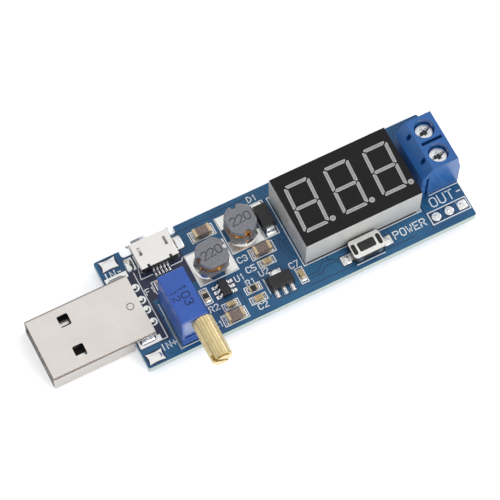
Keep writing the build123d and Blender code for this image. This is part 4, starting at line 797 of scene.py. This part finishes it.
for y, side in ((plug_low.y, -1), (plug_high.y, 1)):
    wedge(solder, PLUG_SLOT_X, y, 90 * side, width=2.6, reach=0.65, height=0.75, z0=0.0)
for y in TAIL_YS:
    dome(solder, TAIL_X + 0.02, y, rx=0.42, ry=0.44, height=0.12, z0=-0.1, sides=20, rings=5)
piece("solder_lumps", solder, "solder")

# ------------------------------------------------------------------ copper under the mask
MASK_GAP = 0.2                      # between a pad's edge and the mask round it
TRACE_WIDTH = 0.17
TRACES = (
    [(29.6, 12.0), (30.4, 10.9), (30.4, 8.4), (31.6, 6.6)],
    [(30.2, 12.2), (31.2, 10.9), (31.2, 8.8), (32.0, 7.4)],
    [(32.2, 3.0), (34.2, 3.0), (35.2, 4.0), (37.2, 4.0), (38.2, 3.2), (39.0, 3.2)],
    [(32.2, 2.4), (34.6, 2.4), (35.6, 3.3), (37.4, 3.3), (38.4, 2.6)],
    [(36.6, 5.0), (36.6, 3.9)],
    [(35.8, 5.0), (35.8, 4.2)],
    [(47.6, 5.0), (47.6, 3.4), (47.0, 2.8)],
    [(48.4, 5.0), (48.4, 3.7)],
    [(20.4, 7.6), (20.9, 7.0), (20.9, 6.1)],
    [(23.2, 7.9), (24.2, 7.0), (24.2, 4.4)],
    [(13.4, 10.5), (13.4, 1.0)],
    [(16.4, 4.9), (16.4, 6.0), (15.9, 6.6)],
    [(20.3, 3.0), (20.3, 5.6)],
    [(29.8, 2.0), (31.0, 2.0), (32.2, 1.2), (38.0, 1.2), (52.0, 1.2)],
    [(12.8, 20.6), (22.5, 20.6), (24.0, 21.0), (31.0, 21.0)],
    [(9.0, 10.9), (13.0, 10.9), (13.9, 11.6), (13.9, 17.2)],
    [(55.8, 1.0), (55.8, 6.2), (56.1, 6.6)],
)
NAVY_PATCH = ((4.0, 3.4), (6.1, 3.4), (6.1, 10.9), (14.6, 10.9), (14.6, 17.3), (5.9, 17.3), (4.0, 17.9))
VIAS = (
    (29.9, 11.6), (33.0, 4.2), (36.0, 4.0), (24.6, 2.4),
    (23.0, 8.6), (31.4, 1.8), (24.4, 6.2), (13.2, 19.3),
)
VIA_RADIUS = 0.32
VIA_HOLE = 0.17
PAD_EDGE_SAGS = (0.14, 0.24, 0.18, 0.26)    # how far the mask reaches over each side of a pad
PAD_EDGE_STEPS = 8

relief = bmesh.new()
for low, high in islands("solder_pads"):
    opening = rectangle(low.x - MASK_GAP, high.x + MASK_GAP, low.y - MASK_GAP, high.y + MASK_GAP)
    prism(relief, opening, SUNK, 0.006)
for line in TRACES:
    ribbon(relief, line, TRACE_WIDTH, SUNK, 0.004)
piece("mask_gaps", relief, "mask_dark")
pad_edges = bmesh.new()
for low, high in input_pads:
    corners = rectangle(low.x - 0.02, high.x + 0.02, low.y - 0.02, high.y + 0.02)
    for n, sag in enumerate(PAD_EDGE_SAGS):
        start, end = Vector(corners[n]), Vector(corners[(n + 1) % 4])
        inward = Vector((start.y - end.y, end.x - start.x)).normalized()
        outline = [tuple(start), tuple(end)]
        for k in range(1, PAD_EDGE_STEPS):
            share = k / PAD_EDGE_STEPS
            outline.append(tuple(end.lerp(start, share) + inward * sag * math.sin(math.pi * share)))
        prism(pad_edges, outline, SUNK, PAD_TOP + 0.01)
piece("input_pad_edges", pad_edges, "bare_mask")
shade = bmesh.new()
prism(shade, NAVY_PATCH, SUNK, 0.002)
piece("bare_board", shade, "bare_mask")
vias = bmesh.new()
# The black discs in the vias are painted shade, standing for the dark inside of each hole
hole_shades = bmesh.new()
for x, y in VIAS:
    ring(vias, circle(x, y, VIA_RADIUS, 16), circle(x, y, VIA_HOLE, 16), SUNK, 0.012)
    prism(hole_shades, circle(x, y, VIA_HOLE, 16), SUNK, 0.004)
piece("vias", vias, "mask_light")
piece("via_hole_shades", hole_shades, "black_plastic")

# ------------------------------------------------------------------ printed lines and labels
LINE = 0.18                         # width of a printed line
HEAVY_LINE = 0.34                   # the thick line beside the trimmer
INK_TOP = 0.02
# Strokes of each letter; each point is an X of 0 to 4 and a Y of 0 to 6
GLYPHS = {
    "0": ("10 30 41 45 36 16 05 01 10",),
    "1": ("15 26 20",),
    "2": ("05 16 36 45 44 00 40",),
    "3": ("05 16 36 45 44 33 42 41 30 10 01", "33 23"),
    "4": ("30 36 02 42",),
    "5": ("46 06 03 33 42 41 30 00",),
    "7": ("06 46 10",),
    "C": ("45 36 16 05 01 10 30 41",),
    "D": ("00 06 26 44 42 20 00",),
    "E": ("46 06 00 40", "03 33"),
    "F": ("46 06 00", "03 33"),
    "I": ("20 26",),
    "N": ("00 06 40 46",),
    "O": ("10 30 41 45 36 16 05 01 10",),
    "P": ("00 06 36 45 44 33 03",),
    "R": ("00 06 36 45 44 33 03", "23 40"),
    "T": ("06 46", "26 20"),
    "U": ("06 01 10 30 41 46",),
    "W": ("06 10 23 30 46",),
    "+": ("03 43", "21 25"),
    "-": ("13 33",),
}


GLYPH_WIDTH = 4
GLYPH_HEIGHT = 6


def write(shape, text, x, y, height, width, z0, z1, turn=0.0, advance=5.8):
    """Writes a line of text in strokes round a middle point; turn is in degrees."""
    unit = height / GLYPH_HEIGHT
    c, s = math.cos(math.radians(turn)), math.sin(math.radians(turn))
    start = -(len(text) * advance - (advance - GLYPH_WIDTH)) / 2
    for n, letter in enumerate(text):
        for stroke in GLYPHS[letter]:
            line = []
            for point in stroke.split():
                u = (start + n * advance + int(point[0])) * unit
                v = (int(point[1]) - GLYPH_HEIGHT / 2) * unit
                line.append((x + u * c - v * s, y + u * s + v * c))
            ribbon(shape, line, width, z0, z1)


def frame_line(shape, x0, x1, y0, y1):
    """A printed rectangle."""
    points = rectangle(x0, x1, y0, y1)
    ribbon(shape, points + points[:1], LINE, SUNK, INK_TOP)


# Room between a chip and the rectangle round it: past its ends, and past its sides
CHIP_ROOMS = (
    (large_chips, 0.68, 0.22), (small_chips, 0.72, 0.22), (resistors, 0.68, 0.25), (fuses, 0.8, 0.3),
)
PRINTED_LINES = (
    [(5.45, 17.1), (5.45, 3.84), (4.5, 3.84)],
    [(6.5, 17.4), (6.1, 15.4), (8.3, 15.4)],
    [(11.9, 15.4), (13.95, 15.4), (14.3, 15.9)],
    [(regulator_low.x - 0.2, 3.0), (regulator_low.x - 0.2, 5.9)],
    [(trimmer_low.x - 0.3, 9.9), (trimmer_low.x - 0.3, 0.85), (10.3, 0.85)],
    [(58.1, 6.9), (BOARD_LENGTH - 0.1, 6.9)],
    [(switch_low.x + 0.3, switch_low.y - 0.25), (switch_high.x - 0.3, switch_low.y - 0.25)],
    [(switch_low.x + 0.3, switch_high.y + 0.2), (switch_high.x - 0.3, switch_high.y + 0.2)],
)
# Each label's middle, the height of its letters and the width of their strokes
LABELS = (
    ("IN-", 2.2, 18.5, 1.25, 0.22),
    ("IN+", 5.0, 2.45, 1.1, 0.2),
    ("OUT-", 60.6, 5.45, 1.7, 0.22),
    ("POWER", 52.0, 2.9, 1.35, 0.2),
    ("D1", 30.1, 20.5, 1.05, 0.17),
    ("C3", 23.4, 10.95, 1.05, 0.17),
    ("C5", 23.9, 8.65, 1.05, 0.17),
    ("U2", 25.6, 7.1, 1.05, 0.17),
    ("U1", 21.4, 8.05, 1.05, 0.17),
    ("R1", 22.75, 6.5, 1.05, 0.17),
    ("R2", 14.9, 4.95, 1.05, 0.17),
    ("C7", 30.9, 6.0, 1.05, 0.17),
    ("C2", 22.7, 1.65, 1.05, 0.17),
    ("C1", 14.2, 1.9, 1.05, 0.17),
    ("F1", 6.6, 12.85, 1.05, 0.17),
)
INDUCTOR_FRAME = (3.7, 3.2)         # half sizes, along the solder and across it
QUARTER_TURN = 90                   # degrees

silk = bmesh.new()
for group, end_room, side_room in CHIP_ROOMS:
    for middle, half_length, half_width, axis in group:
        dx = half_length + end_room if axis == 0 else half_width + side_room
        dy = half_width + side_room if axis == 0 else half_length + end_room
        frame_line(silk, middle.x - dx, middle.x + dx, middle.y - dy, middle.y + dy)
for number, middle, top, turn in inductors:
    dx, dy = INDUCTOR_FRAME if turn < QUARTER_TURN / 2 else reversed(INDUCTOR_FRAME)
    frame_line(silk, middle.x - dx, middle.x + dx, middle.y - dy, middle.y + dy)
frame_line(silk, diode_low.x - 0.55, diode_high.x + 0.55, diode_low.y - 0.9, diode_high.y + 0.95)
frame_line(
    silk, display_low.x - 0.3, display_high.x + 0.22, display_low.y - 0.2, display_high.y + 0.2,
)
frame_line(silk, HEADER_XS[-1] - 1.2, HEADER_XS[0] + 1.15, HEADER_Y - 1.2, HEADER_Y + 1.2)
for line in PRINTED_LINES:
    ribbon(silk, line, LINE, SUNK, INK_TOP)
heavy_x = trimmer_low.x - HEAVY_LINE
ribbon(silk, [(heavy_x, 6.9), (heavy_x, 0.85)], HEAVY_LINE, SUNK, INK_TOP)
for text, x, y, height, width in LABELS:
    write(silk, text, x, y, height, width, SUNK, INK_TOP)
piece("printed_lines", silk, "silk", smooth=False)

MARK_DEPTH = 0.02                   # how far a mark on a part starts below its face
marks = bmesh.new()
for number, middle, top, turn in inductors:
    heading = turn if turn < QUARTER_TURN / 2 else turn - QUARTER_TURN
    write(
        marks, "220", middle.x, middle.y, height=1.5, width=0.16, z0=top - MARK_DEPTH, z1=top + 0.012,
        turn=heading, advance=5.4,
    )
piece("inductor_marks", marks, "inductor_ink", smooth=False)
marks = bmesh.new()
trimmer_x = (trimmer_low.x + trimmer_high.x) / 2
trimmer_y = (trimmer_low.y + trimmer_high.y) / 2
trimmer_top = trimmer_high.z
for text, dx, dy, height, width in (("103", 0.5, -0.2, 1.4, 0.2), ("12", -1.2, 0.3, 1.2, 0.18)):
    write(
        marks, text, trimmer_x + dx, trimmer_y + dy, height, width,
        trimmer_top - MARK_DEPTH, trimmer_top + 0.01, turn=-QUARTER_TURN,
    )
piece("trimmer_marks", marks, "trimmer_ink", smooth=False)

# ------------------------------------------------------------------ inductor windings
WIRE = 0.3                          # wire thickness
TURNS = 6.5
STEPS_PER_TURN = 26
END_RADIUS = 2.6                    # where the wire's ends come down beside the lower flange
END_Z = 0.34

for number, middle, top, turn in inductors:
    node = f"inductor_{number}_winding"
    low, high = extent(node)
    outer = (high.x - low.x) / 2
    z0 = low.z + WIRE / 2
    z1 = high.z - WIRE / 2
    steps = int(TURNS * STEPS_PER_TURN)
    first_angle = math.radians(turn)
    last_angle = first_angle + 2 * math.pi * TURNS + 0.25
    wire = bmesh.new()
    # The outer layer has the two ends; the inner one, half a turn on, fills the gaps between its turns
    for radius, shift in ((outer - WIRE / 2, 0.0), (outer - WIRE * 1.35, 0.5)):
        path = []
        if shift == 0.0:
            x = middle.x + END_RADIUS * math.cos(first_angle)
            y = middle.y + END_RADIUS * math.sin(first_angle)
            path += [at(x, y, z) for z in (END_Z, 0.7, low.z - 0.05)]
        for n in range(steps + 1):
            angle = first_angle + 2 * math.pi * (TURNS * n / steps + shift)
            z = z0 + (z1 - z0) * n / steps
            path.append(at(middle.x + radius * math.cos(angle), middle.y + radius * math.sin(angle), z))
        if shift == 0.0:
            x = middle.x + (END_RADIUS + 0.02) * math.cos(last_angle)
            y = middle.y + (END_RADIUS + 0.02) * math.sin(last_angle)
            path += [at(x, y, z) for z in (high.z - 0.2, 2.4, 0.9, END_Z)]
        tube(wire, path, WIRE / 2 * MM)
    made = piece(f"inductor_{number}_wire", wire, "copper")
    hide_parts(node)

# ------------------------------------------------------------------ display
RIM_WIDTH = 0.13                    # the bright line round each segment
RIM_HEIGHT = 0.012
WELD = 1e-6                         # metres
FLAT = 0.01                         # radians
SHADOW_HEIGHT = 0.5                    # the painted shadow under the display's near side

rims = bmesh.new()
rims.from_mesh(frame["nodes"]["display_segments"].data)
bmesh.ops.remove_doubles(rims, verts=rims.verts, dist=WELD)
top_z = max(v.co.z for v in rims.verts)
lower = [f for f in rims.faces if min(v.co.z for v in f.verts) < top_z - WELD]
bmesh.ops.delete(rims, geom=lower, context="FACES")
bmesh.ops.dissolve_limit(rims, angle_limit=FLAT, verts=rims.verts, edges=rims.edges)
inset = bmesh.ops.inset_individual(rims, faces=rims.faces, thickness=RIM_WIDTH * MM)
ring_faces = set(inset["faces"])
bmesh.ops.delete(rims, geom=[f for f in rims.faces if f not in ring_faces], context="FACES")
grown = bmesh.ops.extrude_face_region(rims, geom=list(rims.faces))
for element in grown["geom"]:
    if isinstance(element, bmesh.types.BMVert):
        element.co.z += RIM_HEIGHT * MM
piece("segment_rims", rims, "segment_rim", smooth=False)
# A black strip, in the black rubber finish, at the foot of the display's near side: painted shadow
# where the display meets the board
under_shadow = bmesh.new()
strip = rectangle(
    display_low.x + 0.2, display_high.x - 0.8, display_low.y - 0.06, display_low.y + 0.05,
)
prism(under_shadow, strip, 0.0, SHADOW_HEIGHT)
piece("display_under_shadow", under_shadow, "rubber", smooth=False)

# ------------------------------------------------------------------ trimmer, plug, screws, button
PANEL = ((7.42, 2.92), (11.4, 2.92), (11.4, 7.2), (9.7, 7.2), (9.7, 9.18), (7.42, 9.18))
PANEL_DEPTH = 0.25                  # the trimmer's front recess
DIMPLE_SETBACK = 1.85               # from the rear of the plug's shell
DIMPLE_SHIFT = 0.25
DIMPLE_RADII = (0.69, 0.57)
SCREW_TURNS = (8.0, 20.0)           # degrees, from the board's X axis to a screw's slot
SPRING_SHEET = 0.05

# A thin plate in the trimmer's front recess, in a lighter blue that is a painted reflection of the
# bright floor on its gloss
recess_y = trimmer_low.y + PANEL_DEPTH
panel = bmesh.new()
upright_prism(panel, PANEL, recess_y - 0.015, recess_y + 0.01)
piece("trimmer_sheen_panel", panel, "recess_blue", smooth=False)
# A dark ring just inside the groove of the plug's round dimple: painted shade in the groove
dimple = bmesh.new()
dimple_x = plug_high.x - DIMPLE_SETBACK
dimple_y = (plug_low.y + plug_high.y) / 2 + DIMPLE_SHIFT
wide, narrow = [circle(dimple_x, dimple_y, radius) for radius in DIMPLE_RADII]
ring(dimple, wide, narrow, plug_high.z - 0.12, plug_high.z - 0.01)
piece("plug_dimple_shade", dimple, "dimple_shadow")
# Dark prisms in each screw's slot and square centre: painted shade in the recess
for number, turn in enumerate(SCREW_TURNS, start=1):
    low, high = extent(f"terminal_screw_{number}")
    x, y = (low.x + high.x) / 2, (low.y + high.y) / 2
    slot_floor = turned(rectangle(-1.45, 1.45, -0.1, 0.1), x, y, turn)
    centre = turned(rectangle(-0.42, 0.42, -0.36, 0.36), x, y, turn)
    recess = bmesh.new()
    prism(recess, slot_floor, high.z - 0.46, high.z - 0.36)
    prism(recess, centre, high.z - 0.71, high.z - 0.1)
    piece(f"screw_{number}_recess", recess, "screw_shadow", f"screw_{number}", False)
snap_low, snap_high = extent("switch_dome")
snap_x = (snap_low.x + snap_high.x) / 2
snap_y = (snap_low.y + snap_high.y) / 2
snap_radius = (snap_high.x - snap_low.x) / 2
snap = bmesh.new()
sprung_cap(snap, snap_x, snap_y, snap_radius, snap_low.z, snap_high.z, SPRING_SHEET)
cap = piece("snap_dome", snap, "steel")
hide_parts("switch_dome")
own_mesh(cap)

# ------------------------------------------------------------------ camera, light and floor
CAMERA_PLACE = (-84.7845, -153.6824, 415.7684)      # millimetres, in the frame
CAMERA_RIGHT = (0.88938, -0.45706, 0.01017)
CAMERA_BACK = (-0.19092, -0.35111, 0.91666)
camera_data = bpy.data.cameras.new("camera")
camera_data.sensor_width = 36.0
camera_data.lens = 186.978
camera_data.clip_start = 0.01
camera_data.clip_end = 10.0
camera = bpy.data.objects.new("camera", camera_data)
bpy.context.scene.collection.objects.link(camera)
right = Vector(CAMERA_RIGHT).normalized()
back = Vector(CAMERA_BACK).normalized()
up = back.cross(right)
rows = [(*way, place * MM) for way, place in zip(zip(right, up, back), CAMERA_PLACE)]
camera.matrix_world = Matrix((*rows, (0, 0, 0, 1)))
bpy.context.scene.camera = camera
bpy.context.scene.view_settings.view_transform = "Standard"

# Each lamp's name, place in metres, size in metres and power in watts; both face the middle
LAMPS = (("front", (0.25, -0.7, 0.45), 0.35, 2.2), ("side", (0.7, 0.2, 0.5), 0.3, 0.8))
for name, place, size, power in LAMPS:
    data = bpy.data.lights.new(name, "AREA")
    data.shape = "SQUARE"
    data.size = size
    data.energy = power
    lamp = bpy.data.objects.new(name, data)
    bpy.context.scene.collection.objects.link(lamp)
    lamp.location = place
    lamp.rotation_mode = "QUATERNION"
    lamp.rotation_quaternion = (-Vector(place)).to_track_quat("-Z", "Y")

# How bright the sky is at each height, from level (0) to straight up (1)
SKY_LEVELS = ((0.0, 0.1), (0.2, 0.3), (0.55, 0.72), (1.0, 1.0))
SKY_STRENGTH = 0.92
world = bpy.data.worlds.new("studio")
bpy.context.scene.world = world
world.use_nodes = True
sky = world.node_tree
background = sky.nodes["Background"]
direction = sky.nodes.new("ShaderNodeTexCoord")
parts = sky.nodes.new("ShaderNodeSeparateXYZ")
sky.links.new(direction.outputs["Generated"], parts.inputs["Vector"])
shades = colour_ramp(sky, [(height, (level, level, level)) for height, level in SKY_LEVELS])
sky.links.new(parts.outputs["Z"], shades.inputs["Fac"])
sky.links.new(shades.outputs["Color"], background.inputs["Color"])
background.inputs["Strength"].default_value = SKY_STRENGTH

FLOOR_REACH = 3.0                   # metres, from the middle of the floor to its edge
floor_mesh = bpy.data.meshes.new("floor")
floor_shape = bmesh.new()
bmesh.ops.create_grid(floor_shape, x_segments=1, y_segments=1, size=FLOOR_REACH)
floor_shape.to_mesh(floor_mesh)
floor_shape.free()
floor = bpy.data.objects.new("floor", floor_mesh)
bpy.context.scene.collection.objects.link(floor)
floor_material, _, floor_shader, _ = shader("studio_floor")
floor_shader.inputs["Base Color"].default_value = (0.93, 0.93, 0.94, 1)
floor_shader.inputs["Roughness"].default_value = 0.9
floor_shader.inputs["Emission Color"].default_value = (1, 1, 1, 1)
floor_shader.inputs["Emission Strength"].default_value = 0.4
floor_mesh.materials.append(floor_material)
